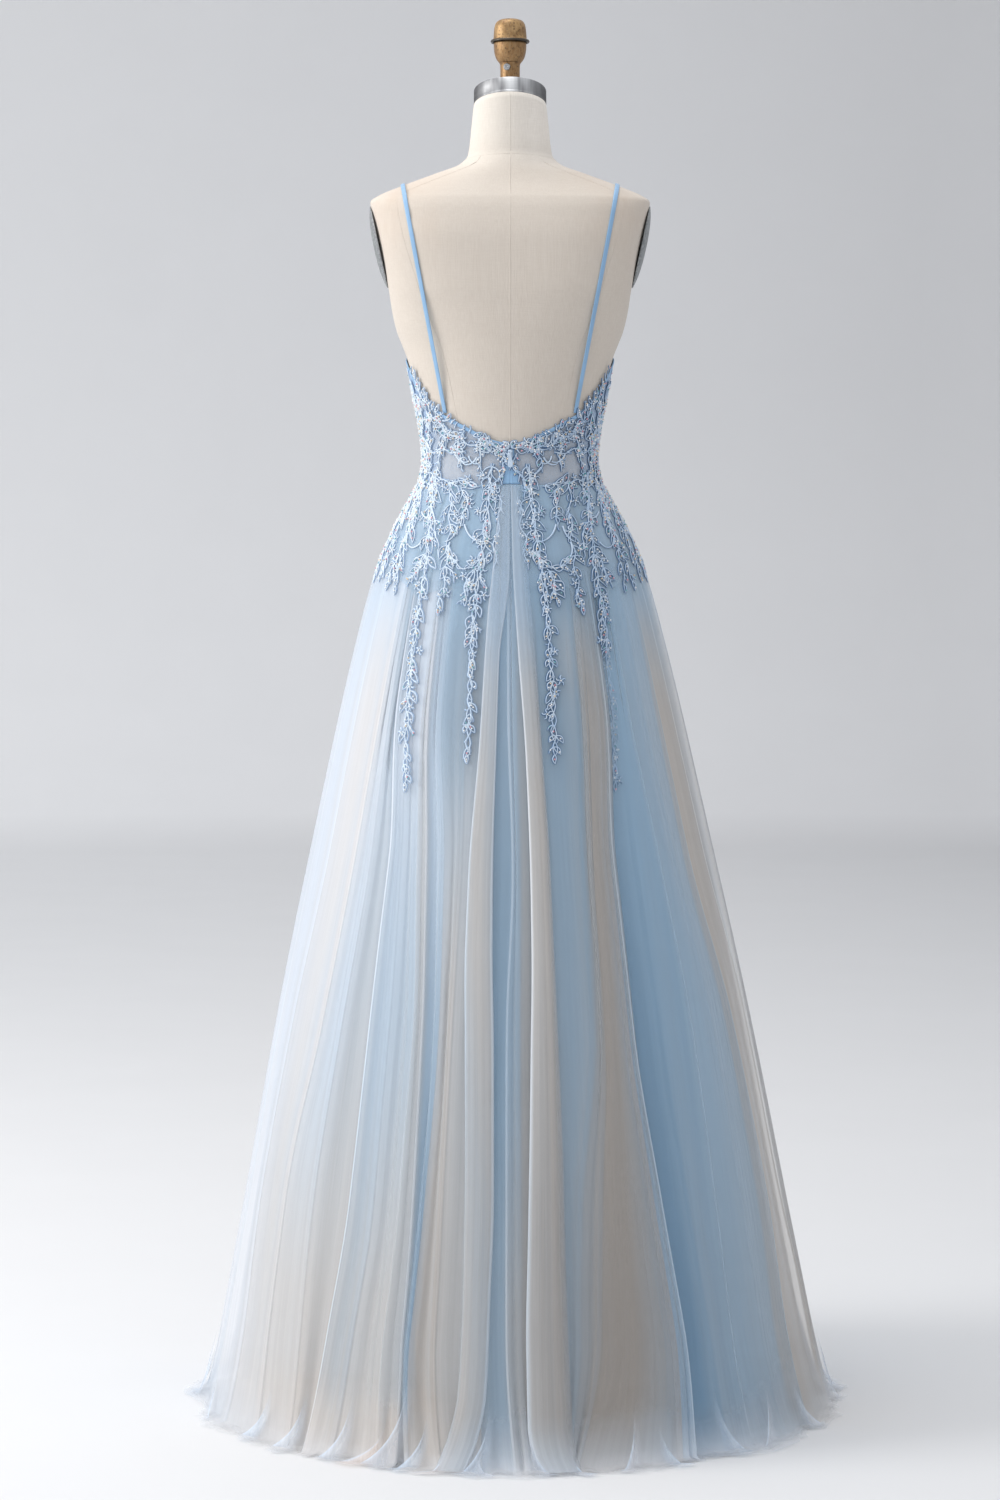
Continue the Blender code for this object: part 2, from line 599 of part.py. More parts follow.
def form_level(place):
    """1 on the form's surface, less inside it and more outside."""
    _, half_width, front, back, squareness = between(FORM, place.z)
    depth = back if place.y > 0 else front
    return abs(place.x / half_width) ** squareness + abs(place.y / depth) ** squareness


def form_normal(place):
    """The direction straight out from the form's surface near this place."""
    step = 1.5 * MM
    axes = (Vector((step, 0, 0)), Vector((0, step, 0)), Vector((0, 0, step)))
    return Vector([form_level(place + axis) - form_level(place - axis) for axis in axes]).normalized()


def build_straps():
    above = [(row[1], row[0]) for row in FORM if row[0] > SHOULDER_LINE]
    shoulder_height = between(above, STRAP_SHOULDER)[1]
    back_x, back_angle = STRAP_BACK_END
    front_x, front_angle = STRAP_FRONT_END
    back = strap_leg(STRAP_SHOULDER, shoulder_height, back_x, top_edge(back_angle) + STRAP_END_LIFT, False)
    front = strap_leg(STRAP_SHOULDER, shoulder_height, front_x, top_edge(front_angle) + STRAP_END_LIFT, True)
    route = pulled_tight(list(reversed(front)) + back[1:])
    for side, sign in (("left", 1), ("right", -1)):
        rings = []
        for i, point in enumerate(route):
            along = (route[min(i + 1, len(route) - 1)] - route[max(i - 1, 0)]).normalized()
            across = along.cross(form_normal(point)).normalized()
            out = across.cross(along)
            ring = []
            for a, b in ((-1, 0), (1, 0), (1, 1), (-1, 1)):
                corner = point + across * a * STRAP_HALF_WIDTH + out * (STRAP_OFF_FORM + b * STRAP_THICKNESS)
                ring.append(Vector((sign * corner.x, corner.y, corner.z)))
            rings.append(ring)
        loft(f"strap_{side}", rings, BLUE_SATIN)


def build_zip():
    """The slider on the back edges, and the pull tab, which hangs from an axis between its two lugs."""
    inner_face = form_point(0.0, SLIDER_HEIGHT).y + BODICE_OUTSIDE + SLIDER_LIFT
    outer_face = inner_face + SLIDER_SIZE[1]
    slider = block("zip_slider", SLIDER_SIZE, (0.0, (inner_face + outer_face) / 2, SLIDER_HEIGHT), ZIP_ENAMEL)
    axis = Vector((0.0, outer_face + TAB_AXIS_OFF, SLIDER_HEIGHT + TAB_AXIS_UP))
    lug_y = outer_face - LUG_SUNK + LUG_SIZE[1] / 2
    for sign in (-1, 1):
        lug = block(f"slider_lug_{sign}", LUG_SIZE, (sign * LUG_OFFSET, lug_y, axis.z), ZIP_ENAMEL)
        part.objects.unlink(lug)
        cutters.objects.link(lug)
        lug.hide_render = True
        lug.display_type = "WIRE"
        join = slider.modifiers.new("lug", "BOOLEAN")
        join.operation = "UNION"
        join.object = lug
    rings = []
    for face in (-0.5, 0.5):
        left = [Vector((half, face * TAB_THICKNESS, -below)) for below, half in TAB_OUTLINE]
        right = [Vector((-half, face * TAB_THICKNESS, -below)) for below, half in reversed(TAB_OUTLINE)]
        rings.append(left + right)
    tab = loft("zip_pull_tab", rings, ZIP_ENAMEL)
    tab.location = axis


# ---- Lace -------------------------------------------------------------------------------------------
def stem_points(start, bend, end, count):
    """Evenly spread points of a gentle curve from start to end, with its direction at each."""
    start, bend, end = Vector(start), Vector(bend), Vector(end)
    points = []
    for i in range(count):
        t = i / (count - 1)
        place = (1 - t) ** 2 * start + 2 * t * (1 - t) * bend + t * t * end
        heading = ((1 - t) * (bend - start) + t * (end - bend)).normalized()
        points.append((place, heading))
    return points


def turned_by(vector, angle):
    """A flat vector turned by this angle."""
    c, s = math.cos(angle), math.sin(angle)
    return Vector((vector.x * c - vector.y * s, vector.x * s + vector.y * c))


def leaf_outline(near, far, heading, side, length):
    """A pointed leaf on the edge of the stem from near to far."""
    lean = turned_by(heading, side * LEAF_ANGLE)
    out = turned_by(lean, side * math.pi / 2) * LEAF_HALF_WIDTH
    root = near.lerp(far, 0.5)
    belly = root + lean * LEAF_BELLY * length
    return near, belly + out, root + lean * length, belly - out, far


def spray_faces(start, bend, end, pairs, leaf_length):
    """Flat outlines of a stem and its pairs of leaves, one long and one short, which share its edges."""
    stem = stem_points(start, bend, end, pairs + 1)
    edges = {-1: [], 1: []}
    headings = []
    for place, heading in stem[1:]:
        for along in (-0.5, 0.5):
            for side in edges:
                out = turned_by(heading, side * math.pi / 2) * STEM_HALF_WIDTH
                edges[side].append(place + heading * along * LEAF_BASE + out)
            headings.append(heading)
    faces = []
    for i in range(len(headings) - 1):
        faces.append((edges[-1][i], edges[-1][i + 1], edges[1][i + 1], edges[1][i]))
        if i % 2:
            continue
        pair = i // 2
        for side in edges:
            long_side = 1 if pair % 2 else -1
            length = leaf_length * (1.0 - LEAF_TAPER * pair / pairs)
            if side != long_side:
                length *= LEAF_SHORTER
            faces.append(leaf_outline(edges[side][i], edges[side][i + 1], headings[i], side, length))
    return faces


def build_lace():
    for name, middle, start, bend, end, pairs, leaf_length in SPRAYS:
        outlines = spray_faces(start, bend, end, pairs, leaf_length)
        for side, sign in (("left", -1), ("right", 1)):
            away = sign if middle == 0 else -sign
            shape = bmesh.new()
            known = {}
            for outline in outlines:
                corners = []
                for point in outline:
                    key = (round(point.x, 7), round(point.y, 7))
                    if key not in known:
                        known[key] = shape.verts.new(lace_point(middle, away * point.x, point.y, LACE_LIFT))
                    corners.append(known[key])
                face = shape.faces.new(corners)
                face.normal_update()
                centre = face.calc_center_median()
                if face.normal.dot(Vector((centre.x, centre.y, 0.0))) < 0:
                    face.normal_flip()
            node = f"lace_{name}_{side}"
            spray = add(node, mesh_of(node, shape), LACE_CORD, smooth=False)
            skin = spray.modifiers.new("thickness", "SOLIDIFY")
            skin.thickness = LACE_THICKNESS
            skin.offset = 1.0


build_form()
build_neck()
build_stand()
build_lining()
build_tulle()
build_flaps()
build_bodice()
build_placket()
build_straps()
build_zip()
build_lace()
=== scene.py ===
"""Looks of the backless tulle ball gown on its limbless dress form.

Metres, +Z up, the same frame as the CAD. The form faces -Y, so its left is +X.
An angle round the gown is in degrees from the centre back (+Y), growing towards -X.
"""

import math

import bmesh
import bpy
import numpy as np
from mathutils import Euler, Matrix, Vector


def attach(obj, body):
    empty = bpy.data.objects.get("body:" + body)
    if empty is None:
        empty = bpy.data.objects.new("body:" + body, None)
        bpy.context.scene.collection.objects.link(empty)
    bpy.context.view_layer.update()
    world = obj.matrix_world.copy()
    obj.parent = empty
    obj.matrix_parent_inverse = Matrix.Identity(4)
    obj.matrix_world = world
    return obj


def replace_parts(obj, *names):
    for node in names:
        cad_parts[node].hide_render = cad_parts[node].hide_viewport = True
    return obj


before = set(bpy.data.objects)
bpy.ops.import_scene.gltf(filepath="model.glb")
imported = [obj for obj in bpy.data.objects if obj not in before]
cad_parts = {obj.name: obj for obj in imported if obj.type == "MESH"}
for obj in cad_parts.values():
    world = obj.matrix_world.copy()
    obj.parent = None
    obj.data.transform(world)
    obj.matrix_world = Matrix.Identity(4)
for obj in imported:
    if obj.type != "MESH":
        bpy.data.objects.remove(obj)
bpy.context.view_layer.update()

GOWN = "gown_on_form"
PULL = "zip_pull"
MM = 0.001
SIDES = (("left", -1), ("right", 1))  # with the sign of their angles

# ---- The part's measures, as in its source ------------------------------------------------------------
# height, half width, depth in front of the pole axis, depth behind it, squareness of the section
FORM = (
    (0.87, 0.146, 0.088, 0.1, 2.2), (0.885, 0.157, 0.097, 0.113, 2.2), (0.93, 0.163, 0.103, 0.12, 2.2),
    (0.98, 0.163, 0.105, 0.121, 2.2), (1.04, 0.151, 0.101, 0.112, 2.1), (1.1, 0.133, 0.095, 0.098, 2.0),
    (1.16, 0.1144, 0.088, 0.0865, 2.0), (1.175, 0.1103, 0.0868, 0.0835, 2.0),
    (1.19, 0.1078, 0.0862, 0.0812, 2.0), (1.205, 0.108, 0.0872, 0.0802, 2.0),
    (1.22, 0.1094, 0.0895, 0.08, 2.0), (1.257, 0.116, 0.1, 0.082, 2.1), (1.29, 0.1235, 0.115, 0.085, 2.1),
    (1.32, 0.1297, 0.1275, 0.088, 2.2), (1.338, 0.1365, 0.131, 0.09, 2.2), (1.355, 0.1432, 0.131, 0.092, 2.3),
    (1.38, 0.149, 0.1265, 0.094, 2.5), (1.407, 0.153, 0.118, 0.096, 2.9), (1.461, 0.164, 0.098, 0.096, 3.2),
    (1.5, 0.1725, 0.082, 0.09, 3.0), (1.516, 0.1762, 0.074, 0.084, 2.7), (1.523, 0.168, 0.07, 0.079, 2.5),
    (1.536, 0.138, 0.062, 0.07, 2.3), (1.551, 0.098, 0.054, 0.062, 2.1), (1.564, 0.064, 0.049, 0.056, 2.0),
    (1.576, 0.053, 0.046, 0.05, 2.0), (1.615, 0.0482, 0.0455, 0.046, 2.0), (1.638, 0.0457, 0.044, 0.044, 2.0),
)
NECK_TILT = math.radians(15.5)
NECK_TILT_FROM = 1.564
SCREW_TURN = math.radians(17)
NECK_TOP = 1.638
NECK_CAP_HEIGHT = 0.02
# height, half width, depth in front, depth behind, fold depth, lining's inset from the fold crests
SKIRT = (
    (1.1597, 0.1184, 0.092, 0.0905, 0.0, 0.0021), (1.14, 0.129, 0.102, 0.101, 0.0006, 0.003),
    (1.105, 0.149, 0.121, 0.122, 0.002, 0.005), (1.0665, 0.167, 0.138, 0.141, 0.0035, 0.007),
    (0.97, 0.195, 0.162, 0.176, 0.006, 0.01), (0.704, 0.2565, 0.227, 0.249, 0.013, 0.017),
    (0.517, 0.297, 0.271, 0.297, 0.018, 0.022), (0.193, 0.36, 0.344, 0.373, 0.027, 0.032),
    (0.04, 0.392, 0.376, 0.406, 0.034, 0.04), (0.0, 0.404, 0.388, 0.42, 0.035, 0.04),
)
SKIRT_TOP = SKIRT[0][0]
SKIRT_LEAN = 0.01
LINING_HEM = 0.04
WAIST = 1.16
BODICE_OUTSIDE = 2.6 * MM
BODICE_RADIUS = 0.115
TOP_EDGE = (
    (0, 1.209), (12, 1.215), (24, 1.226), (36, 1.238), (48, 1.25), (62, 1.272), (76, 1.298), (90, 1.318),
    (108, 1.326), (126, 1.342), (142, 1.368), (152, 1.374), (162, 1.352), (172, 1.31), (180, 1.286),
)
CUP_ANGLE, CUP_HEIGHT, CUP_REACH, CUP_EASE, CUP_RISE = 146.0, 1.335, 0.1, 2.5 * MM, 1.6
SIDE_TO_FRONT = 104.0
TAB_AXIS = (0.0, 0.08793, 1.2005)


# ---- Curves and surfaces ------------------------------------------------------------------------------
class Curve:
    """Values read off a smooth curve through rows of (place, value, ...), with no overshoot."""

    def __init__(self, rows):
        rows = np.array(sorted(map(tuple, rows)), float)
        self.x, self.y = rows[:, 0], rows[:, 1:]
        steps = np.diff(self.y, axis=0) / np.diff(self.x)[:, None]
        self.m = np.zeros_like(self.y)
        both = steps[:-1] + steps[1:]
        same = steps[:-1] * steps[1:] > 0
        self.m[1:-1] = np.where(same, 2 * steps[:-1] * steps[1:] / np.where(same, both, 1), 0)
        self.m[0], self.m[-1] = steps[0], steps[-1]

    def __call__(self, at):
        at = np.clip(np.asarray(at, float), self.x[0], self.x[-1])
        i = np.clip(np.searchsorted(self.x, at, side="right") - 1, 0, len(self.x) - 2)
        h = (self.x[i + 1] - self.x[i])[..., None]
        t = (at - self.x[i])[..., None] / h
        return (
            (2 * t**3 - 3 * t**2 + 1) * self.y[i] + (t**3 - 2 * t**2 + t) * h * self.m[i]
            + (3 * t**2 - 2 * t**3) * self.y[i + 1] + (t**3 - t**2) * h * self.m[i + 1]
        )


form_at, skirt_at, top_at = Curve(FORM), Curve(SKIRT), Curve(TOP_EDGE)


def top_edge(angle):
    """Height of the bodice's top edge at these angles."""
    return top_at(from_centre_back(angle))[..., 0]


def section(angle, half_width, front, back, squareness=2.0):
    """Points of a rounded section at these angles, as x and y."""
    turn = np.radians(angle)
    across, along = np.sin(turn), np.cos(turn)
    power = 2.0 / squareness
    x = -half_width * np.sign(across) * np.abs(across) ** power
    y = np.where(along > 0, back, front) * np.sign(along) * np.abs(along) ** power
    return x, y


def form_point(angle, height, lift=0.0):
    """Points on the dress form, moved out by lift."""
    angle, height, lift = np.broadcast_arrays(angle, height, lift)
    w, f, b, n = np.moveaxis(form_at(height), -1, 0)
    x, y = section(angle, w + lift, f + lift, b + lift, n)
    tilt = np.maximum(0.0, (height - NECK_TILT_FROM) / (NECK_TOP - NECK_TILT_FROM)) * math.tan(NECK_TILT)
    return np.stack([x, y, height + y * tilt], -1)


def skirt_point(angle, height, inset=0.0):
    """Points inset from the crests of the tulle."""
    angle, height, inset = np.broadcast_arrays(angle, height, inset)
    w, f, b = np.moveaxis(skirt_at(height)[..., :3], -1, 0)
    x, y = section(angle, w - inset, f - inset, b - inset)
    lean = SKIRT_LEAN * np.clip(1 - height / SKIRT_TOP, 0, 1) ** 1.5
    return np.stack([x - lean, y, height], -1)


def cup_ease(angle, height):
    """How much further off the form the cloth is over the bust."""
    off = np.abs(from_centre_back(angle) - CUP_ANGLE)
    across = np.maximum(0.0, 1 - off / (CUP_ANGLE - SIDE_TO_FRONT))
    up = np.maximum(0.0, 1 - np.abs(height - CUP_HEIGHT) / CUP_REACH)
    return CUP_EASE * np.minimum(1.0, CUP_RISE * across) * np.minimum(1.0, CUP_RISE * up)


def gown_point(angle, height, lift=0.0):
    """Points over the gown's outside, bodice or skirt."""
    angle, height, lift = np.broadcast_arrays(angle, height, lift)
    over = form_point(angle, np.maximum(height, WAIST), BODICE_OUTSIDE + lift + cup_ease(angle, height))
    return np.where((height < WAIST)[..., None], skirt_point(angle, height, -lift), over)


def waves(angle, height, seed, scale=1.0):
    """A smooth uneven field round the gown, about -1 to 1."""
    made = np.random.default_rng(seed)
    total = 0.0
    for _ in range(7):
        n = made.integers(3, 19)
        total = total + np.sin(
            np.radians(angle) * n + made.uniform(0, 6.28) + height * scale * made.uniform(-6, 6)
        ) * made.uniform(0.4, 1.0)
    return total / 3.5


def from_centre_back(angle):
    """How far round an angle is from the centre back, either way."""
    return np.abs((np.asarray(angle, float) + 180.0) % 360.0 - 180.0)


def unit(vectors):
    return vectors / (np.linalg.norm(vectors, axis=-1)[..., None] + 1e-12)


def run_along(path):
    """The distance along a path at each of its points."""
    return np.concatenate([[0], np.cumsum(np.linalg.norm(np.diff(path, axis=0), axis=1))])


def between(value, low, high):
    """0 at low and 1 at high, held beyond them."""
    return np.clip((value - low) / (high - low), 0, 1)


# ---- Meshes -------------------------------------------------------------------------------------------
def shown(name, mesh, material):
    """An object of a mesh, with this material, in the scene."""
    mesh.materials.append(material)
    made = bpy.data.objects.new(name, mesh)
    bpy.context.scene.collection.objects.link(made)
    return made


def piece(name, points, faces, material, uv=None, body=GOWN, smooth=True, **fields):
    """A mesh object that rides on a body; its UV map and its fields are given per point."""
    points = np.asarray(points, float)
    mesh = bpy.data.meshes.new(name)
    mesh.from_pydata(points.reshape(-1, 3).tolist(), [], [tuple(map(int, f)) for f in faces])
    if uv:
        flat = np.stack([np.broadcast_to(along, points.shape[:-1]) for along in uv], -1).reshape(-1, 2)
        corners = np.empty(len(mesh.loops), int)
        mesh.loops.foreach_get("vertex_index", corners)
        mesh.uv_layers.new(name="UVMap").data.foreach_set("uv", flat[corners].ravel())
    for field, values in fields.items():
        values = np.broadcast_to(np.asarray(values, float), points.shape[:-1])
        mesh.attributes.new(field, "FLOAT", "POINT").data.foreach_set("value", values.ravel())
    if smooth:
        mesh.shade_smooth()
    made = shown(name, mesh, material)
    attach(made, body)
    return made


def grid_faces(rows, columns, ring=False):
    """Quads of a grid of points, listed row by row."""
    index = np.arange(rows * columns).reshape(rows, columns)
    if ring:
        index = np.concatenate([index, index[:, :1]], 1)
    return np.stack([index[:-1, :-1], index[:-1, 1:], index[1:, 1:], index[1:, :-1]], -1).reshape(-1, 4)


def capped(rings, sides):
    """Faces of a tube of rings, with one face over each end."""
    last = (rings - 1) * sides
    return [*grid_faces(rings, sides, True), tuple(range(sides))[::-1], tuple(range(last, last + sides))]


def turned_profile(profile, sides, placed):
    """Points and faces of a profile of (height, radius) turned round Z, closed at both ends."""
    turn = np.linspace(0, 2 * np.pi, sides, endpoint=False)
    points = [placed((r * np.cos(turn), r * np.sin(turn), np.full(sides, h))) for h, r in profile]
    return np.concatenate(points), capped(len(profile), sides)


def rounded(profile, steps=4):
    """A profile of (height, radius) with a smooth curve run through it by distance along it."""
    along = run_along(profile)
    smooth = Curve(np.column_stack([along, profile]))
    places = np.concatenate([np.linspace(a, b, steps, endpoint=False) for a, b in zip(along, along[1:])])
    return [tuple(row) for row in smooth(np.append(places, along[-1]))]


# ---- Materials ----------------------------------------------------------------------------------------
class Finish:
    """A node material round one Principled shader."""

    def __init__(self, name, **sockets):
        self.material = bpy.data.materials.new(name)
        self.material.use_nodes = True
        self.tree = self.material.node_tree
        self.shader = self.tree.nodes["Principled BSDF"]
        for socket, value in sockets.items():
            self.set(socket.replace("_", " "), value)

    def put(self, socket, value):
        if isinstance(value, bpy.types.NodeSocket):
            self.tree.links.new(value, socket)
        elif isinstance(value, tuple) and len(value) == 3 and socket.type == "RGBA":
            socket.default_value = (*value, 1.0)
        else:
            socket.default_value = value

    def node(self, kind, out=0, props=None, **sockets):
        made = self.tree.nodes.new(kind)
        for key, value in (props or {}).items():
            setattr(made, key, value)
        for socket, value in sockets.items():
            key = int(socket[1:]) if socket[0] == "i" and socket[1:].isdigit() else socket.replace("_", " ")
            self.put(made.inputs[key], value)
        return made.outputs[out]

    def where(self, kind="Object", scale=(1, 1, 1)):
        return self.node("ShaderNodeMapping", Vector=self.node("ShaderNodeTexCoord", kind), Scale=scale)

    def noise(self, place, scale=1.0, detail=2.0, rough=0.5):
        return self.node("ShaderNodeTexNoise", 0, Vector=place, Scale=scale, Detail=detail, Roughness=rough)

    def grain(self, scale, detail=2.0, rough=0.5, kind="Object"):
        """Noise that is stretched by a scale along each axis."""
        return self.noise(self.where(kind, scale), 1.0, detail, rough)

    def axis(self, index):
        """One of the object's own coordinates."""
        return self.node("ShaderNodeSeparateXYZ", index, Vector=self.where())

    def math(self, operation, a, b=0.0, c=0.0, clamp=False):
        return self.node("ShaderNodeMath", 0, {"operation": operation, "use_clamp": clamp}, i0=a, i1=b, i2=c)

    def remap(self, value, low, high, to_low, to_high):
        return self.node(
            "ShaderNodeMapRange", 0, Value=value, From_Min=low, From_Max=high, To_Min=to_low, To_Max=to_high
        )

    def ramp(self, value, low, high):
        return self.remap(value, low, high, 0.0, 1.0)

    def mix(self, share, a, b, how="MIX"):
        made = self.tree.nodes.new("ShaderNodeMix")
        made.data_type = "RGBA"
        made.blend_type = how
        for index, value in ((0, share), (6, a), (7, b)):
            self.put(made.inputs[index], value)
        return made.outputs[2]

    def tone(self, value, low, high, most, a, b):
        """From a towards b, by the most given, as the value goes from low to high."""
        return self.mix(self.remap(value, low, high, 0.0, most), a, b)

    def field(self, name):
        return self.node("ShaderNodeAttribute", "Fac", {"attribute_name": name})

    def set(self, socket, value):
        self.put(self.shader.inputs[socket], value)

    def base(self, colour):
        self.set("Base Color", colour)

    def bump(self, height, distance, strength=1.0):
        made = self.node("ShaderNodeBump", 0, Height=height, Distance=distance, Strength=strength)
        self.set("Normal", made)


BLUE = (0.425, 0.605, 0.77)
BEIGE = (0.69, 0.625, 0.56)
# paler cloth, which is partly painted light
PALE_AND_PAINTED_LIGHT_BLUE, PALE_AND_PAINTED_LIGHT_BEIGE = (0.84, 0.88, 0.95), (0.88, 0.83, 0.79)
# painted shade: the blue and the beige as they look in shade
PAINTED_SHADE_BLUE, PAINTED_SHADE_BEIGE = (0.2, 0.335, 0.48), (0.33, 0.305, 0.285)


def tulle(name, streak, painted_shade_strength):
    """Sheer tulle: colour and density from the cloth's fields, with fine long streaks over them; pale is partly
    painted light, deep is painted shade.
    """
    cloth = Finish(
        name, Roughness=0.8, Sheen_Weight=0.6, Sheen_Roughness=0.4, Sheen_Tint=(0.88, 0.94, 1.0),
        Specular_IOR_Level=0.1,
    )
    broad = cloth.grain((38, 0.9, 1), 3.0, 0.6, kind="UV")
    fine = cloth.grain((420, 5, 1), 2.0, 0.5, kind="UV")
    net = cloth.grain((1500, 1500, 1), 0.0, kind="UV")
    together = cloth.math("ADD", cloth.math("MULTIPLY", broad, 0.6), cloth.math("MULTIPLY", fine, 0.4))
    change = cloth.remap(together, 0.3, 0.7, 1.0 - streak, 1.0 + streak)
    tint = cloth.math("ADD", cloth.field("tint"), cloth.remap(broad, 0.3, 0.7, -0.05, 0.05), clamp=True)
    colour = cloth.mix(tint, BLUE, BEIGE)
    # pale mixes in paler cloth and painted light; deep mixes in painted shade
    light, dark = cloth.mix(tint, PALE_AND_PAINTED_LIGHT_BLUE, PALE_AND_PAINTED_LIGHT_BEIGE), cloth.mix(tint, PAINTED_SHADE_BLUE, PAINTED_SHADE_BEIGE)
    colour = cloth.mix(cloth.math("MULTIPLY", cloth.field("pale"), 0.9), colour, light)
    colour = cloth.mix(cloth.math("MULTIPLY", cloth.field("deep"), painted_shade_strength), colour, dark)
    shade = cloth.remap(fine, 0.3, 0.7, 0.96, 1.03)
    cloth.base(cloth.mix(1.0, colour, shade, "MULTIPLY"))
    alpha = cloth.math("MULTIPLY", cloth.field("cover"), change)
    alpha = cloth.math("MULTIPLY", alpha, cloth.remap(net, 0.35, 0.65, 0.94, 1.05), clamp=True)
    cloth.set("Alpha", alpha)
    cloth.bump(fine, 0.0008, 0.12)
    return cloth.material


def hem_tulle():
    """Single sheer tulle at the floor: pale blue, or peach where the cloth's own field says."""
    cloth = Finish("tulle_hem", Roughness=0.8, Sheen_Weight=0.5, Sheen_Roughness=0.4, Specular_IOR_Level=0.1)
    fine = cloth.grain((420, 60, 1), 2.0, kind="UV")
    colour = cloth.mix(cloth.field("tint"), (0.64, 0.77, 0.93), (0.86, 0.66, 0.54))
    cloth.base(cloth.tone(fine, 0.3, 0.7, 0.25, colour, (0.9, 0.93, 0.97)))
    cloth.set("Alpha", cloth.math("MULTIPLY", cloth.field("cover"), cloth.remap(fine, 0.3, 0.7, 0.85, 1.05)))
    cloth.bump(fine, 0.0006, 0.2)
    return cloth.material


def satin(name, colour, roughness=0.42):
    """Satin: a soft long gloss, with faint slubs across it."""
    cloth = Finish(name, Roughness=roughness, Sheen_Weight=0.25, Sheen_Roughness=0.3, Anisotropic=0.4)
    long = cloth.grain((260, 260, 6), 2.0)
    weave = cloth.grain((900, 900, 900), 0.0)
    cloth.base(cloth.tone(long, 0.3, 0.7, 1.0, colour, tuple(c * 0.88 for c in colour)))
    cloth.set("Roughness", cloth.remap(long, 0.3, 0.7, roughness - 0.05, roughness + 0.08))
    cloth.bump(weave, 0.0003, 0.3)
    return cloth.material


def linen():
    cloth = Finish("form_linen", Roughness=0.88, Sheen_Weight=0.12, Sheen_Roughness=0.5)
    warp = cloth.grain((1100, 1100, 45), 2.0)
    weft = cloth.grain((70, 70, 1300), 1.0)
    slub = cloth.grain((520, 520, 12), 3.0)
    cloudy = cloth.grain((9, 9, 7), 4.0, 0.6)
    weave = cloth.math("ADD", warp, cloth.math("MULTIPLY", weft, 0.6))
    high = cloth.axis(2)
    side = cloth.math("ABSOLUTE", cloth.axis(0))
    colour = cloth.tone(slub, 0.35, 0.65, 1.0, (0.724, 0.654, 0.574), (0.7, 0.627, 0.547))
    worn = cloth.math("MULTIPLY", cloth.ramp(high, 1.38, 1.52), cloth.ramp(side, 0.05, 0.17))
    worn = cloth.math("MULTIPLY", worn, cloth.remap(cloudy, 0.42, 0.62, 0.15, 1.0), clamp=True)
    colour = cloth.mix(cloth.math("MULTIPLY", worn, 0.55), colour, (0.64, 0.48, 0.36))
    neck = cloth.ramp(high, 1.55, 1.6)
    colour = cloth.mix(neck, colour, (0.78, 0.725, 0.65))
    # painted light: the neck is lightened on its -X side, which the lamps leave in shade
    painted_light_mask = cloth.ramp(cloth.axis(0), 0.005, -0.03)
    colour = cloth.mix(cloth.math("MULTIPLY", neck, painted_light_mask), colour, (0.96, 0.9, 0.82))
    cloth.base(cloth.tone(weave, 0.5, 1.1, 0.22, colour, (0.5, 0.43, 0.36)))
    cloth.bump(weave, 0.0004, 0.45)
    return cloth.material


def metal(name, colour, roughness, grain=(4, 4, 900), metallic=1.0):
    """Brushed metal, its grain run round or along it by the scale of the noise."""
    made = Finish(name, Metallic=metallic, Roughness=roughness)
    lines = made.grain(grain, 3.0)
    spots = made.grain((60, 60, 60), 4.0, 0.65)
    made.base(made.tone(spots, 0.35, 0.7, 0.5, colour, tuple(c * 0.7 for c in colour)))
    made.set("Roughness", made.remap(lines, 0.3, 0.7, roughness - 0.08, roughness + 0.1))
    made.bump(lines, 0.0002, 0.25)
    return made.material


def band_steel_painted_reflections():
    """Brushed steel band with painted reflections: soft upright streaks, a painted highlight in the middle and
    dark ends.
    """
    made = Finish("band_steel_painted_reflections", Metallic=0.7, Roughness=0.5)
    lines = made.grain((6, 6, 1200), 3.0)
    streak = made.grain((75, 40, 2), 2.0, 0.6)
    side = made.math("ABSOLUTE", made.axis(0))
    # painted reflections: upright light and dark streaks, a painted highlight where |x| is under 0.01, and
    # painted dark reflections towards both ends
    colour = made.tone(streak, 0.36, 0.64, 1.0, (0.27, 0.27, 0.28), (0.86, 0.87, 0.88))
    colour = made.tone(side, 0.01, 0.0, 0.85, colour, (0.95, 0.955, 0.96))
    colour = made.tone(side, 0.013, 0.044, 0.97, colour, (0.045, 0.045, 0.05))
    made.base(made.tone(lines, 0.3, 0.7, 0.25, colour, (0.45, 0.45, 0.46)))
    made.set("Roughness", made.remap(lines, 0.3, 0.7, 0.44, 0.58))
    made.bump(lines, 0.0002, 0.25)
    return made.material


def aged_brass():
    """Old brown-gold finish, worn through in spots and darker below the rim."""
    made = Finish("finial_brass", Metallic=0.5, Roughness=0.42)
    worn = made.grain((75, 75, 75), 5.0, 0.7)
    fine = made.grain((500, 500, 120), 3.0)
    pits = made.grain((330, 330, 330), 2.0)
    high = made.axis(2)
    colour = made.tone(worn, 0.38, 0.62, 1.0, (0.21, 0.105, 0.038), (0.47, 0.29, 0.125))
    colour = made.tone(high, 1.722, 1.716, 0.5, colour, (0.27, 0.135, 0.05))
    colour = made.tone(pits, 0.56, 0.7, 0.85, colour, (0.075, 0.04, 0.02))
    made.base(made.tone(fine, 0.35, 0.7, 0.22, colour, (0.7, 0.52, 0.3)))
    made.set("Roughness", made.remap(worn, 0.3, 0.7, 0.34, 0.56))
    made.bump(worn, 0.0012, 0.5)
    return made.material


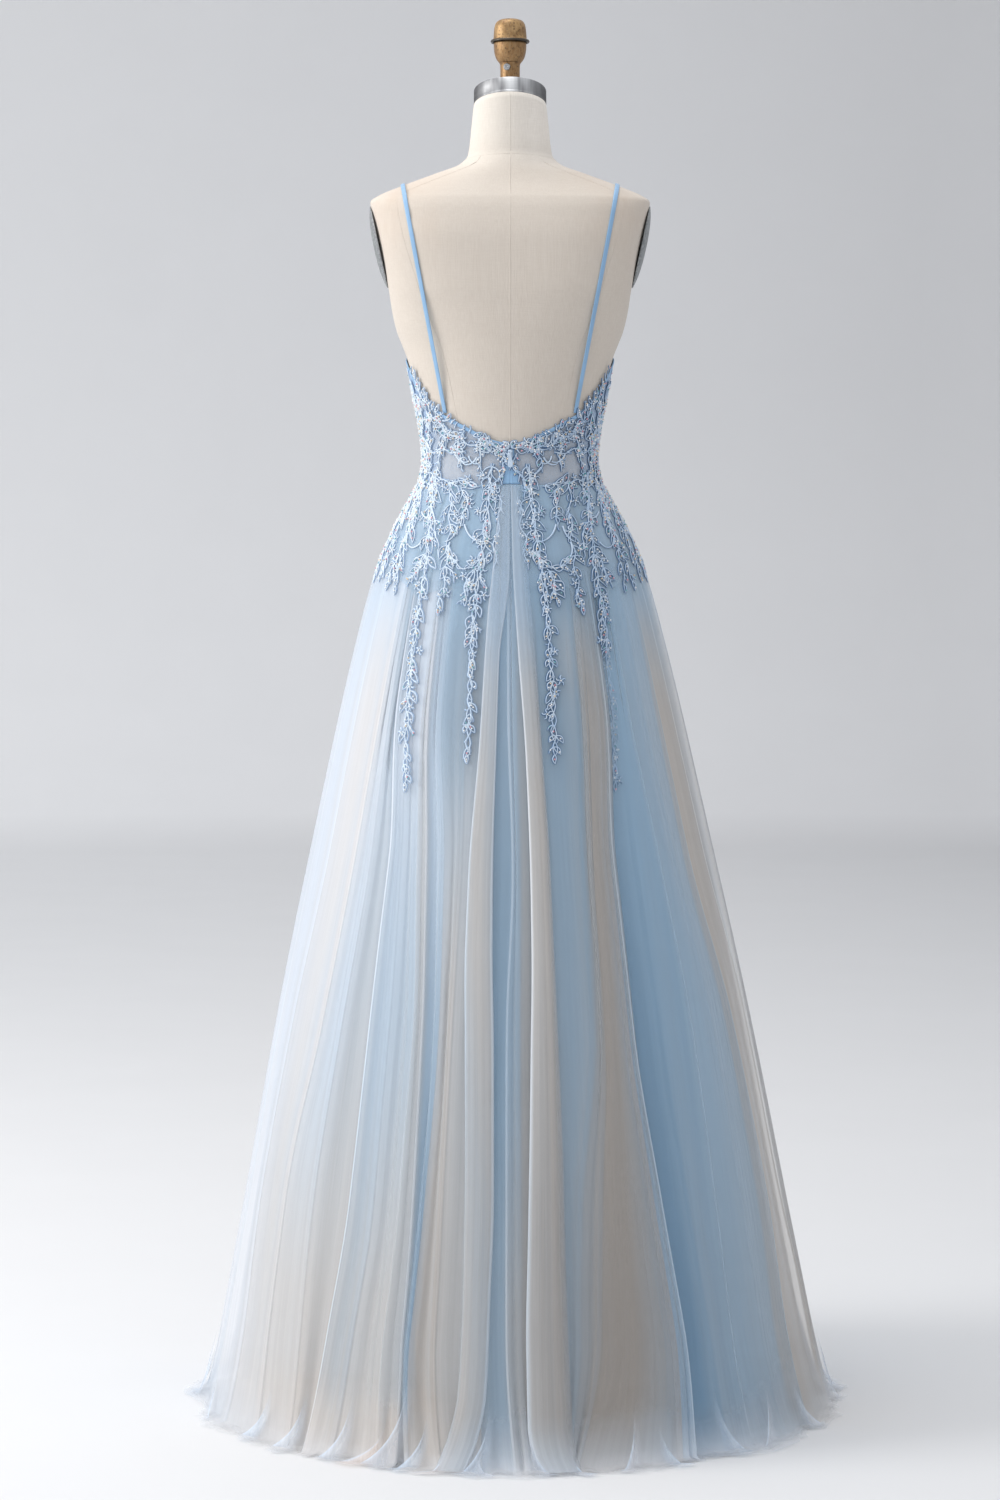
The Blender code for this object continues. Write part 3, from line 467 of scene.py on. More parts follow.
def enamel():
    """Grey hammered enamel, speckled."""
    made = Finish("plate_enamel", Roughness=0.45, Metallic=0.3)
    speck = made.grain((420, 420, 420), 2.0)
    broad = made.grain((30, 30, 30), 3.0)
    colour = made.tone(speck, 0.4, 0.62, 1.0, (0.17, 0.185, 0.19), (0.4, 0.42, 0.425))
    made.base(made.tone(broad, 0.3, 0.7, 0.35, colour, (0.28, 0.29, 0.29)))
    made.bump(speck, 0.0006, 0.5)
    return made.material


def cord_thread():
    """Satin cord of the lace: wound thread, with a painted highlight along its top and painted shade down its
    sides.
    """
    made = Finish("lace_thread", Roughness=0.4, Sheen_Weight=0.3, Sheen_Roughness=0.3)
    wound = made.grain((1600, 1600, 1600), 1.0)
    broad = made.grain((90, 90, 90), 2.0)
    side = made.axis(0)
    colour = made.tone(broad, 0.35, 0.65, 1.0, (0.56, 0.73, 0.93), (0.8, 0.9, 1.0))
    # painted light towards +X and painted shade towards -X
    colour = made.tone(side, 0.0, 0.11, 0.85, colour, (0.86, 0.95, 1.0))
    colour = made.tone(side, 0.0, -0.14, 0.5, colour, (0.44, 0.59, 0.8))
    colour = made.tone(wound, 0.3, 0.7, 0.2, colour, (0.4, 0.55, 0.75))
    # the sides: painted shade, lighter towards +X as painted light
    flank = made.tone(side, -0.03, 0.1, 0.85, (0.085, 0.175, 0.335), (0.56, 0.72, 0.95))
    made.base(made.tone(made.field("crown"), 0.02, 0.42, 1.0, flank, colour))
    made.bump(wound, 0.0003, 0.4)
    return made.material


def lace_ground_and_painted_shade():
    """The dense net that the cords are sewn on, a deeper blue: partly its own colour, partly painted shade
    between the cords.
    """
    cloth = Finish("lace_ground_and_painted_shade", Roughness=0.8, Specular_IOR_Level=0.1)
    fine = cloth.grain((900, 900, 900), 1.0)
    broad = cloth.grain((60, 60, 60), 2.0)
    side = cloth.axis(0)
    colour = cloth.tone(broad, 0.3, 0.7, 1.0, (0.085, 0.18, 0.34), (0.18, 0.32, 0.54))
    # painted light: lighter towards +X
    cloth.base(cloth.tone(side, -0.03, 0.1, 0.85, colour, (0.54, 0.7, 0.92)))
    cloth.set("Alpha", cloth.remap(fine, 0.35, 0.65, 0.6, 0.95))
    cloth.bump(fine, 0.0003, 0.3)
    return cloth.material


def bead(name, colour):
    made = Finish(name, Roughness=0.12, Coat_Weight=0.6, Coat_Roughness=0.05)
    fire = made.grain((900, 900, 900), 0.0)
    made.base(made.tone(fire, 0.4, 0.6, 1.0, colour, tuple(min(1.0, c * 0.6 + 0.3) for c in colour)))
    return made.material


def net():
    """Sheer bodice net: fine holes, and as dense as the cloth's own field says."""
    cloth = Finish("bodice_net", Roughness=0.7, Sheen_Weight=0.3, Specular_IOR_Level=0.2)
    cell = cloth.node(
        "ShaderNodeTexVoronoi", "Distance", {"feature": "DISTANCE_TO_EDGE"},
        Vector=cloth.where("UV"), Scale=700.0,
    )
    broad = cloth.grain((40, 40, 1), 3.0, kind="UV")
    colour = cloth.tone(broad, 0.3, 0.7, 1.0, (0.45, 0.59, 0.79), (0.56, 0.69, 0.87))
    cloth.base(cloth.tone(cloth.field("cover"), 0.6, 1.0, 0.85, colour, (0.27, 0.41, 0.62)))
    hole = cloth.remap(cell, 0.0, 0.35, 1.25, 0.75)
    cloth.set("Alpha", cloth.math("MULTIPLY", cloth.field("cover"), hole, clamp=True))
    cloth.bump(cell, 0.0004, 0.3)
    return cloth.material


def stage_finish():
    """Pale floor, darker near the gown as a painted shadow, with painted light towards +X and painted shade
    towards -X.
    """
    made = Finish("studio_paper", Roughness=0.9, Specular_IOR_Level=0.1)
    place = made.where()
    far = made.node("ShaderNodeVectorMath", 1, {"operation": "LENGTH"}, i0=place)
    paper = made.noise(place, 3.0, 3.0)
    # painted shadow of the gown: darker near it and lighter further out
    colour = made.tone(far, 1.6, 5.0, 1.0, (0.8, 0.8, 0.805), (0.84, 0.84, 0.845))
    across = made.axis(0)
    # painted light towards +X, where the key lamp stands, and painted shade towards -X
    colour = made.tone(across, 0.3, 2.6, 0.75, colour, (0.97, 0.97, 0.97))
    colour = made.tone(across, -0.1, -1.8, 0.52, colour, (0.62, 0.62, 0.625))
    high = made.axis(2)
    # painted light: the wall a little lighter low down, fading towards its top
    wall = made.math("MULTIPLY", made.ramp(high, 3.6, 0.4), made.ramp(high, 0.0, 0.1))
    colour = made.mix(wall, colour, made.mix(1.0, colour, (1.1, 1.1, 1.1), "MULTIPLY"))
    made.base(made.tone(paper, 0.3, 0.7, 0.03, colour, (0.5, 0.5, 0.5)))
    return made.material


LINEN = linen()
STEEL = band_steel_painted_reflections()
STAND_STEEL = metal("stand_steel", (0.5, 0.51, 0.53), 0.36)
BRASS = aged_brass()
DARK_RIM = metal("finial_rim", (0.1, 0.085, 0.07), 0.38)
SCREW = metal("screw_steel", (0.5, 0.51, 0.52), 0.3, (300, 300, 300))
PLATE = enamel()
SATIN = satin("satin_blue", (0.3, 0.51, 0.76))
LINING = satin("lining_blue", (0.31, 0.48, 0.62), 0.5)
OUTER = tulle("tulle_outer", 0.03, 0.6)
INNER = tulle("tulle_inner", 0.02, 0.75)
HEM_TULLE = hem_tulle()
THREAD = cord_thread()
GROUND = lace_ground_and_painted_shade()
NET = net()
ZIP = metal("zip_enamel", (0.62, 0.75, 0.9), 0.28, (500, 500, 500), 0.0)

# ---- Stage, camera and lights -------------------------------------------------------------------------
FLOOR_RADIUS, BEND, WALL = 9.0, 2.0, 5.0
STAGE_SIDES = 96
STAGE_DROP = 0.5 * MM  # of the floor under the gown's lowest point
# as solved from the photo
LENS = 85.03
CAMERA_PLACE = (0.0127, 4.5, 1.05)
CAMERA_DOWN = math.radians(2.86)


def build_stage():
    """A floor that curves up into a round wall, so that it shows pale from every side."""
    profile = [(0.0, 0.001), (0.0, 2.0), (0.0, 5.0), (0.0, FLOOR_RADIUS)]
    for turn in np.linspace(0, math.pi / 2, 13)[1:]:
        profile.append((BEND * (1 - math.cos(turn)), FLOOR_RADIUS + BEND * math.sin(turn)))
    profile.append((WALL, FLOOR_RADIUS + BEND))
    turn = np.linspace(0, 2 * np.pi, STAGE_SIDES, endpoint=False)
    points = [
        np.stack([r * np.cos(turn), r * np.sin(turn), np.full(STAGE_SIDES, h - STAGE_DROP)], -1)
        for h, r in profile
    ]
    faces = grid_faces(len(profile), STAGE_SIDES, True)[:, ::-1]
    mesh = bpy.data.meshes.new("studio")
    mesh.from_pydata(np.concatenate(points).tolist(), [], faces.tolist())
    mesh.shade_smooth()
    shown("studio", mesh, stage_finish())


def soft_light(name, place, aim, size, power, colour=(1, 1, 1)):
    data = bpy.data.lights.new(name, "AREA")
    data.shape = "DISK"
    data.size = size
    data.energy = power
    data.color = colour
    light = bpy.data.objects.new(name, data)
    light.location = place
    light.rotation_euler = (Vector(aim) - Vector(place)).to_track_quat("-Z", "Y").to_euler()
    light.visible_camera = False
    bpy.context.scene.collection.objects.link(light)


def build_camera():
    data = bpy.data.cameras.new("camera")
    data.lens = LENS
    data.sensor_width = 36.0
    data.clip_end = 60.0
    camera = bpy.data.objects.new("camera", data)
    camera.location = CAMERA_PLACE
    camera.rotation_euler = (math.pi / 2 - CAMERA_DOWN, 0.0, math.pi)
    bpy.context.scene.collection.objects.link(camera)
    bpy.context.scene.camera = camera


def build_lights():
    soft_light("key", (4.6, 1.0, 2.7), (0.0, 0.0, 0.9), 2.4, 130.0, (1.0, 0.985, 0.97))
    soft_light("overhead", (0.8, 0.3, 4.8), (0.1, 0.0, 0.8), 2.5, 60.0)
    world = bpy.data.worlds.new("studio_air")
    bpy.context.scene.world = world
    world.use_nodes = True
    sky = world.node_tree.nodes["Background"]
    sky.inputs["Color"].default_value = (0.94, 0.96, 1.0, 1.0)
    sky.inputs["Strength"].default_value = 0.75
    scene = bpy.context.scene
    scene.view_settings.view_transform = "Standard"
    scene.view_settings.look = "None"
    scene.cycles.transparent_max_bounces = 32


# ---- Dress form ---------------------------------------------------------------------------------------
def build_torso():
    """The linen form: one smooth skin, with its stitched seams as fine welts on it."""
    sides = 112
    heights = np.unique(np.concatenate([np.linspace(0.872, NECK_TOP, 130), np.linspace(1.505, 1.58, 36)]))
    angles = np.linspace(0, 360, sides, endpoint=False)
    rows = form_point(angles[None, :], heights[:, None])
    low = form_point(angles, 0.87, -2 * MM)
    top = form_point(angles, NECK_TOP)
    middle = top.mean(0)
    under = [low * (share, share, 1) for share in (0.1, 0.5, 1)]
    over = [middle + (top - middle) * share for share in (0.97, 0.6, 0.1)]
    points = np.concatenate([under, rows, over])
    torso = piece("form_linen_torso", points, grid_faces(len(points), sides, True), LINEN)
    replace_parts(torso, "form_torso")


def beside(place, out):
    """Unit directions across a path and up from it, square to it."""
    along = unit(np.gradient(place, axis=0))
    across = unit(np.cross(along, out))
    return across, np.cross(across, along)


def sweep(paths, radius, sides=4, flat=1.0, ridge=False):
    """Points and faces of tubes along paths of (places, outward directions, sizes).

    With a ridge, one edge of each tube faces outwards.
    """
    points, faces, start = [], [], 0
    turn = np.arange(sides) * 2 * np.pi / sides + (0.0 if ridge else np.pi / sides)
    for place, out, size in paths:
        across, up = beside(place, out)
        r = radius * np.asarray(size)[:, None, None]
        ring = (
            place[:, None, :] + across[:, None, :] * np.cos(turn)[None, :, None] * r
            + up[:, None, :] * np.sin(turn)[None, :, None] * r * flat
        )
        points.append(ring.reshape(-1, 3))
        faces.append(grid_faces(len(place), sides, True) + start)
        last = start + (len(place) - 1) * sides
        if sides == 4:
            faces.append([[start + 3, start + 2, start + 1, start], [last, last + 1, last + 2, last + 3]])
        start += len(place) * sides
    return np.concatenate(points), np.concatenate(faces)


def normals_at(angle, height, surface):
    """Outward directions of a surface at these places."""
    d_angle = surface(angle + 0.4, height) - surface(angle - 0.4, height)
    d_height = surface(angle, height + 0.0015) - surface(angle, height - 0.0015)
    return unit(np.cross(d_angle, d_height))


PRINCESS_SEAMS = (  # height and angle, over the back and over the bust
    ((0.9, 30), (1.16, 33), (1.3, 37), (1.42, 42), (1.5, 47), (1.53, 48), (1.56, 40)),
    ((0.9, 150), (1.16, 148), (1.33, 144), (1.45, 140), (1.51, 134), (1.53, 132), (1.56, 140)),
)


def build_form_seams():
    """Stitched seams: centre back and front, the princess lines, the sides, and round the nape."""
    up, neck, side = np.linspace(0.9, 1.57, 110), np.linspace(1.574, 1.636, 24), np.linspace(0.9, 1.4, 80)
    paths = [(turn, up) for turn in (0.0, 180.0)] + [(turn, neck) for turn in (0.0, 90.0, 180.0, 270.0)]
    for sign in (-1, 1):
        paths += [(sign * Curve(line)(up)[:, 0], up) for line in PRINCESS_SEAMS]
        paths.append((sign * 92.0, side))
    round_nape = np.linspace(0, 360, 90)
    paths.append((round_nape, 1.5712 - 0.0055 * (1 - np.cos(np.radians(round_nape))) / 2))
    made = []
    for angle, height in paths:
        place = form_point(angle, height, -0.15 * MM)
        made.append((place, normals_at(angle, height, form_point), np.ones(len(place))))
    points, faces = sweep(made, 0.55 * MM, 4, 0.75)
    seams = piece("form_seams", points, faces, LINEN)


NECK_RIM = 0.0457
SCREW_OUT, SCREW_UP = 0.0126, 0.028
# height over the neck cap and radius
STEM = (
    (0.0, 0.0149), (0.0008, 0.015), (0.006, 0.0134), (0.01, 0.0127), (0.016, 0.0124), (0.026, 0.0123),
    (0.031, 0.0125), (0.0335, 0.0131), (0.0342, 0.0135),
)
BOWL = (
    (0.0345, 0.0138), (0.036, 0.015), (0.0385, 0.0169), (0.042, 0.0185), (0.047, 0.0198), (0.053, 0.0205),
    (0.0597, 0.0206),
)
DOME = (
    (0.06, 0.0215), (0.0603, 0.0231), (0.0612, 0.0236), (0.0622, 0.0232), (0.063, 0.0217), (0.0648, 0.021),
    (0.07, 0.0206), (0.077, 0.02), (0.082, 0.0189), (0.0858, 0.0166), (0.088, 0.013), (0.0891, 0.0085),
    (0.0895, 0.004), (0.0896, 0.0005),
)
RIM_RING = ((0.06, 0.0229), (0.0596, 0.0239), (0.0612, 0.0246), (0.0628, 0.0239), (0.0624, 0.0229))
# distance out from the stem and radius
SCREW_HEAD = (
    (0.0, 0.004), (0.0004, 0.0044), (0.002, 0.0044), (0.0028, 0.0037), (0.003, 0.0018), (0.0025, 0.0014),
)


def neck_place(points):
    """From the tilted frame on the neck's top to the model's."""
    x, y, z = points
    c, s = math.cos(NECK_TILT), math.sin(NECK_TILT)
    return np.stack([x, y * c - z * s, y * s + z * c + NECK_TOP + 0.3 * MM], -1)


def finial_place(points):
    """From the upright frame on the middle of the neck cap's top to the model's."""
    x, y, z = points
    up = NECK_CAP_HEIGHT + 0.3 * MM
    return np.stack([x, y - up * math.sin(NECK_TILT), z + up * math.cos(NECK_TILT) + NECK_TOP + 0.3 * MM], -1)


def build_neck():
    rim, tall = NECK_RIM, NECK_CAP_HEIGHT
    cap = [
        (0.0, rim - 1.2 * MM), (0.0, rim - 0.3 * MM), (0.6 * MM, rim), (2.0 * MM, rim),
        (2.3 * MM, rim - 0.25 * MM), (2.7 * MM, rim - 0.25 * MM), (3.0 * MM, rim), (tall - 1.6 * MM, rim),
        (tall - 0.8 * MM, rim - 0.25 * MM), (tall - 0.25 * MM, rim - 0.8 * MM), (tall, rim - 1.6 * MM),
        (tall, rim * 0.7), (tall, rim * 0.35),
    ]
    points, faces = turned_profile(cap, 96, neck_place)
    band = piece("neck_band", points, faces, STEEL)
    band.data.set_sharp_from_angle(angle=math.radians(50))
    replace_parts(band, "form_neck_cap")
    slope = math.tan(NECK_TILT)

    def seated(points):
        x, y, z = points
        return finial_place((x, y, z + y * slope * np.clip(1 - z / 0.006, 0, 1)))

    for name, node, placed, profile in (
        ("finial_neck", "finial_stem", seated, STEM), ("finial_cup", "finial_bowl", finial_place, BOWL),
        ("finial_dome", "finial_cap", finial_place, DOME),
    ):
        points, faces = turned_profile(rounded(profile, 3), 64, placed)
        made = piece(name, points, faces, BRASS)
        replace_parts(made, node)
    points, faces = turned_profile(RIM_RING, 64, finial_place)
    made = piece("finial_rim_ring", points, faces, DARK_RIM)
    sides = 28
    turn = np.linspace(0, 2 * np.pi, sides, endpoint=False)
    rows = []
    c, s = math.cos(SCREW_TURN), math.sin(SCREW_TURN)
    for out, r in SCREW_HEAD:
        across, away = r * np.cos(turn), SCREW_OUT + out + 0 * turn
        rows.append(finial_place((away * s + across * c, away * c - across * s, SCREW_UP + r * np.sin(turn))))
    made = piece("finial_screw_head", rows, capped(len(SCREW_HEAD), sides), SCREW)
    made.data.set_sharp_from_angle(angle=math.radians(40))
    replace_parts(made, "finial_screw")


PLATE_PLACE, PLATE_RADIUS, PLATE_NARROW = (0.1645, 0.0, 1.461), 0.052, 0.76
PLATE_LEAN = math.radians(12.1)


def build_arm_plates():
    """Domed oval plates over the arm holes."""
    dome = [  # height and share of the radius
        (0.0, 0.985), (0.0, 1.0), (0.0008, 1.006), (0.0016, 1.0), (0.0022, 0.96), (0.0036, 0.86), (0.005, 0.74),
        (0.0062, 0.58), (0.007, 0.4), (0.0074, 0.24), (0.0075, 0.05),
    ]
    for side, sign in (("left", 1), ("right", -1)):
        turn = np.array(Euler((0.0, sign * (math.pi / 2 + PLATE_LEAN), 0.0)).to_matrix())

        def placed(points):
            oval = np.stack(points, -1) * (1.0, PLATE_NARROW, 1.0)
            return oval @ turn.T + PLATE_PLACE * np.array((sign, 1, 1))

        points, faces = turned_profile([(h, r * PLATE_RADIUS) for h, r in dome], 72, placed)
        made = piece(f"arm_plate_{side}", points, faces, PLATE)
        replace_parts(made, f"form_arm_plate_{side}")


# ---- Straps -------------------------------------------------------------------------------------------
STRAP_HALF_WIDTH, STRAP_HALF_THICKNESS, STRAP_SIDES = 2.8 * MM, 0.75 * MM, 16
# middle of the ribbon and the direction it faces
STRAP_ROUTE = (
    (0.0766, -0.1182, 1.3745, 0.365, -0.928, 0.066), (0.0905, -0.1083, 1.414, 0.277, -0.935, 0.22),
    (0.1026, -0.096, 1.4474, 0.274, -0.93, 0.246), (0.1206, -0.0739, 1.4976, 0.288, -0.896, 0.337),
    (0.1239, -0.0685, 1.5069, 0.267, -0.86, 0.434), (0.1268, -0.0632, 1.515, 0.314, -0.781, 0.539),
    (0.1291, -0.056, 1.522, 0.26, -0.642, 0.722), (0.1311, -0.0474, 1.5276, 0.269, -0.511, 0.816),
    (0.1327, -0.0383, 1.5319, 0.311, -0.402, 0.861), (0.1339, -0.0291, 1.5351, 0.345, -0.299, 0.89),
    (0.1346, -0.02, 1.5373, 0.353, -0.185, 0.917), (0.135, -0.0103, 1.5384, 0.353, -0.079, 0.932),
    (0.1352, 0.0, 1.5388, 0.354, 0.009, 0.935), (0.1351, 0.0145, 1.5382, 0.354, 0.094, 0.931),
    (0.1347, 0.0278, 1.5361, 0.359, 0.217, 0.908), (0.1339, 0.0408, 1.5324, 0.325, 0.341, 0.882),
    (0.1328, 0.0539, 1.5267, 0.277, 0.471, 0.837), (0.1313, 0.0662, 1.5189, 0.246, 0.684, 0.686),
    (0.1297, 0.0729, 1.5088, 0.354, 0.852, 0.386), (0.1275, 0.0778, 1.4968, 0.39, 0.901, 0.189),
    (0.1249, 0.0805, 1.4827, 0.373, 0.922, 0.104), (0.1218, 0.0836, 1.4664, 0.362, 0.932, 0.03),
    (0.1184, 0.0841, 1.4477, 0.389, 0.918, -0.076), (0.1145, 0.0834, 1.4268, 0.399, 0.91, -0.117),
    (0.1101, 0.082, 1.4034, 0.421, 0.887, -0.191), (0.0814, 0.061, 1.2496, 0.545, 0.811, -0.213),
)


def resampled(rows, step):
    """Rows read evenly along the length of their first three values."""
    along = run_along(np.array(rows)[:, :3])
    return Curve(np.column_stack([along, rows]))(np.linspace(0, along[-1], int(along[-1] / step) + 2))


def build_straps():
    """Narrow satin ribbons with a rounded section."""
    rows = resampled(STRAP_ROUTE, 4 * MM)
    turn = np.linspace(0, 2 * np.pi, STRAP_SIDES, endpoint=False)
    for side, sign in (("left", 1), ("right", -1)):
        place, out = rows[:, :3] * (sign, 1, 1), rows[:, 3:] * (sign, 1, 1)
        across, up = beside(place, out)
        across_by = (STRAP_HALF_WIDTH * np.sign(np.cos(turn)) * np.abs(np.cos(turn)) ** 0.7)[:, None]
        up_by = (STRAP_HALF_THICKNESS * np.sign(np.sin(turn)) * np.abs(np.sin(turn)) ** 0.6)[:, None]
        ring = place[:, None] + across[:, None] * across_by + up[:, None] * up_by
        made = piece(f"ribbon_strap_{side}", ring, capped(len(rows), STRAP_SIDES), SATIN)
        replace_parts(made, f"strap_{side}")


# ---- Skirt --------------------------------------------------------------------------------------------
FOLD_HEIGHTS = (1.16, 0.9, 0.7, 0.5, 0.3, 0.12, 0.0)
TINT_HEIGHTS = (0.87, 0.53, 0.18)
# fold lines of the tulle over the back, from the wearer's left to the right: angles at those heights; how
# deep the step is; 1 where the cloth before the line lies over, -1 where the cloth after it does; how bright
# the edge is (denser cloth with a painted highlight, and past deep folds a painted shadow); density; then in
# hundredths how beige, pale and deep the cloth after it is at TINT_HEIGHTS. Beige is the cloth's own tone;
# pale is partly painted light, most on the wearer's left where the key lamp falls; deep is painted shade.
BACK_FOLDS = (
    ((-92, -92, -91, -90, -90, -90, -90), 0.3, 1, 0.4, 0.5, (5, 5, 35), (100, 100, 95), (0, 0, 0)),
    ((-76, -76, -76, -77, -78, -77, -76), 0.2, -1, 0.25, 0.5, (10, 15, 40), (95, 100, 100), (0, 0, 0)),
    ((-61, -62, -62.5, -66, -68, -65, -63), 0.2, 1, 0.1, 0.48, (65, 60, 75), (90, 80, 55), (0, 0, 0)),
    ((-47, -48, -49, -51.5, -56, -55, -54), 0.3, 1, 0.25, 0.45, (20, 15, 75), (75, 65, 40), (0, 0, 0)),
    ((-43.5, -43.9, -42.8, -44.6, -46.3, -45, -44), 0.2, 1, 0.1, 0.42, (20, 50, 80), (50, 30, 25), (0, 5, 10)),
    ((-42, -41.3, -36.2, -36.1, -36.5, -38.7, -39.5), 0.8, -1, 0.9, 0.4, (10, 15, 55), (65, 40, 15), (0, 0, 0)),
    ((-37.5, -36.5, -32, -30.3, -30.3, -32.6, -33.5), 0.2, 1, 0.1, 0.38, (10, 25, 75), (65, 30, 20), (0, 0, 0)),
    ((-31, -30.5, -26.9, -24, -24.4, -26, -27), 0.4, -1, 0.3, 0.25, (50, 65, 65), (50, 20, 10), (0, 10, 15)),
    ((-28.5, -28, -23.8, -21.5, -21.2, -21.9, -24), 1.0, 1, 1.0, 0.32, (5, 5, 5), (65, 35, 5), (0, 10, 50)),
    ((-24, -23.5, -18.9, -17.7, -19, -20.7, -22), 0.1, 1, 0.0, 0.4, (20, 80, 90), (25, 20, 5), (20, 5, 25)),
    ((-15.5, -15, -14, -14.5, -15, -15.5, -16), 0.2, 1, 0.15, 0.4, (35, 60, 75), (35, 25, 10), (0, 5, 15)),
    ((-7, -7, -7, -7, -7, -7, -7.5), 0.3, 1, 0.0, 0.3, (10, 10, 25), (10, 0, 0), (35, 40, 35)),
    ((-1.2, -1.3, -0.2, -1.9, -2.1, -2.2, -2), 0.3, -1, 0.7, 0.32, (10, 10, 60), (25, 20, 10), (15, 20, 25)),
    ((1.5, 1.6, 2.0, 1.3, 1.0, 0.8, 0.8), 0.1, 1, 0.0, 0.32, (50, 70, 80), (0, 0, 0), (40, 40, 40)),
    ((9, 9, 9, 9, 8.6, 8.2, 8), 0.2, 1, 0.0, 0.3, (15, 20, 40), (0, 0, 0), (25, 35, 50)),
    ((25, 23.5, 20.5, 19, 13.5, 11.5, 11), 0.15, 1, 0.05, 0.34, (60, 65, 70), (0, 0, 0), (25, 45, 70)),
    ((26.5, 24.8, 22.0, 21.2, 17.7, 15.3, 14), 0.15, 1, 0.0, 0.4, (85, 95, 100), (0, 0, 0), (35, 60, 90)),
    ((31.5, 31.4, 27.5, 27.5, 29.4, 31.0, 31.2), 0.1, 1, 0.1, 0.36, (60, 40, 20), (5, 5, 8), (20, 30, 30)),
    ((33.5, 32.9, 28.9, 29, 31.4, 33.4, 34), 1.0, 1, 0.9, 0.3, (5, 0, 0), (0, 0, 0), (35, 75, 100)),
    ((38, 37.4, 36, 36.5, 38, 39, 40), 0.1, 1, 0.0, 0.3, (0, 5, 20), (0, 0, 0), (5, 25, 50)),
    ((42, 42.1, 44.7, 46.4, 45.6, 44.5, 44), 0.5, 1, 0.35, 0.32, (15, 10, 20), (5, 5, 0), (5, 5, 30)),
    ((49, 49.3, 51.6, 54.3, 54.4, 52.8, 52), 0.1, 1, 0.05, 0.34, (25, 20, 30), (15, 10, 5), (0, 5, 20)),
    ((57.9, 57.9, 58.8, 64.9, 66.1, 63, 62), 0.3, 1, 0.35, 0.46, (95, 100, 100), (15, 10, 10), (0, 5, 15)),
    ((68, 68.1, 69.4, 76.7, 76.4, 80, 80), 0.5, 1, 0.6, 0.46, (80, 85, 95), (20, 20, 20), (0, 5, 10)),
    ((84, 85, 85, 86, 87, 87, 88), 0.5, 1, 0.9, 0.5, (60, 60, 60), (30, 30, 30), (0, 0, 0)),
)
# soft patches over the back: angle and height of the middle, half sizes, then more beige, pale and deep;
# beige is cloth tone, pale is painted light and deep is painted shade, as the shadow between the cascades on
# the wearer's left
TONE_PAINTED_LIGHT_AND_SHADE_PATCHES = (
    (-17.5, 0.92, 6.5, 0.1, 0.15, -1.0, 1.3), (-12.5, 0.93, 3.0, 0.085, 0.1, -0.8, 1.1),
    (-8.0, 0.92, 1.8, 0.07, 0.2, 0.25, -0.3), (-33.0, 0.94, 4.5, 0.11, -0.2, 0.9, -0.6),
    (20.0, 0.955, 5.0, 0.05, 0.5, 0.25, -0.1), (0.0, 0.5, 2.5, 0.3, 0.1, -0.1, 0.3),
    (-38.0, 0.03, 20.0, 0.05, 0.45, 0.1, 0.0), (-22.0, 0.035, 9.0, 0.028, 0.55, 0.0, 0.1),
    (62.0, 0.03, 14.0, 0.045, 0.3, -0.55, 0.45),
)
OVERLAP = 0.75  # a step this deep is a pleat folded back under itself
PANEL_COLUMNS = 8
SWELL = 0.35  # how far the cloth between two folds bows in, as a share of the depth
EDGE = 2.4 * MM  # width of a fold's bright edge
LAP = Curve(((0.0, 0.02), (0.2, 0.016), (0.5, 0.011), (0.8, 0.007), (1.05, 0.003), (1.16, 0.0012)))
OUT_DEPTH = Curve((
    (0.0, 0.017), (0.2, 0.013), (0.5, 0.008), (0.7, 0.005), (0.9, 0.0028), (1.05, 0.0015), (1.16, 0.0005),
))
EDGE_FADE = Curve(((0.0, 1.0), (0.8, 1.0), (1.0, 0.6), (1.1, 0.15), (1.16, 0.0)))


def round_folds():
    """All fold lines: those over the back, then made-up ones of the same kind round the front."""
    made = np.random.default_rng(3)
    folds = [(*row[:5], *(np.array(row[5:]) / 100)) for row in BACK_FOLDS]
    at = 95.0
    while at < 262.0:
        drift = made.uniform(-3.0, 3.0)
        sway = made.uniform(-1.2, 1.2)
        angles = tuple(at + drift * (1 - h / 1.16) + sway * math.sin(5.0 * h) for h in FOLD_HEIGHTS)
        kind = made.choice(3, p=(0.45, 0.3, 0.25))
        step, edge = ((0.15, 0.05), (0.4, 0.35), (0.95, 0.9))[kind]
        beige = made.choice((0.05, 0.15, 0.4, 0.8), p=(0.35, 0.2, 0.15, 0.3))
        beiges = np.clip(beige + made.uniform(-0.2, 0.2, 3), 0, 1)
        # painted light: paler towards the wearer's left, where the key lamp falls; deep, painted shade, is less
        # where it is paler
        pale = 0.05 + 0.85 * max(0.0, (at - 110.0) / 150.0)
        pales = np.clip(pale + made.uniform(-0.1, 0.1, 3), 0, 1)
        deeps = np.clip((0.3 - 0.4 * pale) * made.uniform(0, 1.5, 3), 0, 1)
        side = int(made.choice((1, 1, -1)))
        folds.append((angles, step, side, edge, made.uniform(0.32, 0.44), beiges, pales, deeps))
        at += made.uniform(5.0, 12.0)
    return folds


def fold_lines(folds, heights):
    """Each fold's line and tints, read at these heights."""
    made = []
    for angles, step, side, edge, cover, *tints in folds:
        line = Curve(zip(FOLD_HEIGHTS, angles))(heights)[:, 0]
        b, p, d = (tint[0] for tint in tints)
        by_waist = [(0.97, 0.6 * b, 0.9 * p, 0.9 * d), (1.03, 0.08 * b, 0.7 * p + 0.08, 0.8 * d)]
        tint = Curve([*zip(TINT_HEIGHTS, *tints), *by_waist])(heights)
        made.append((line, step, side, edge, np.column_stack([tint, np.full(len(heights), cover)])))
    return made


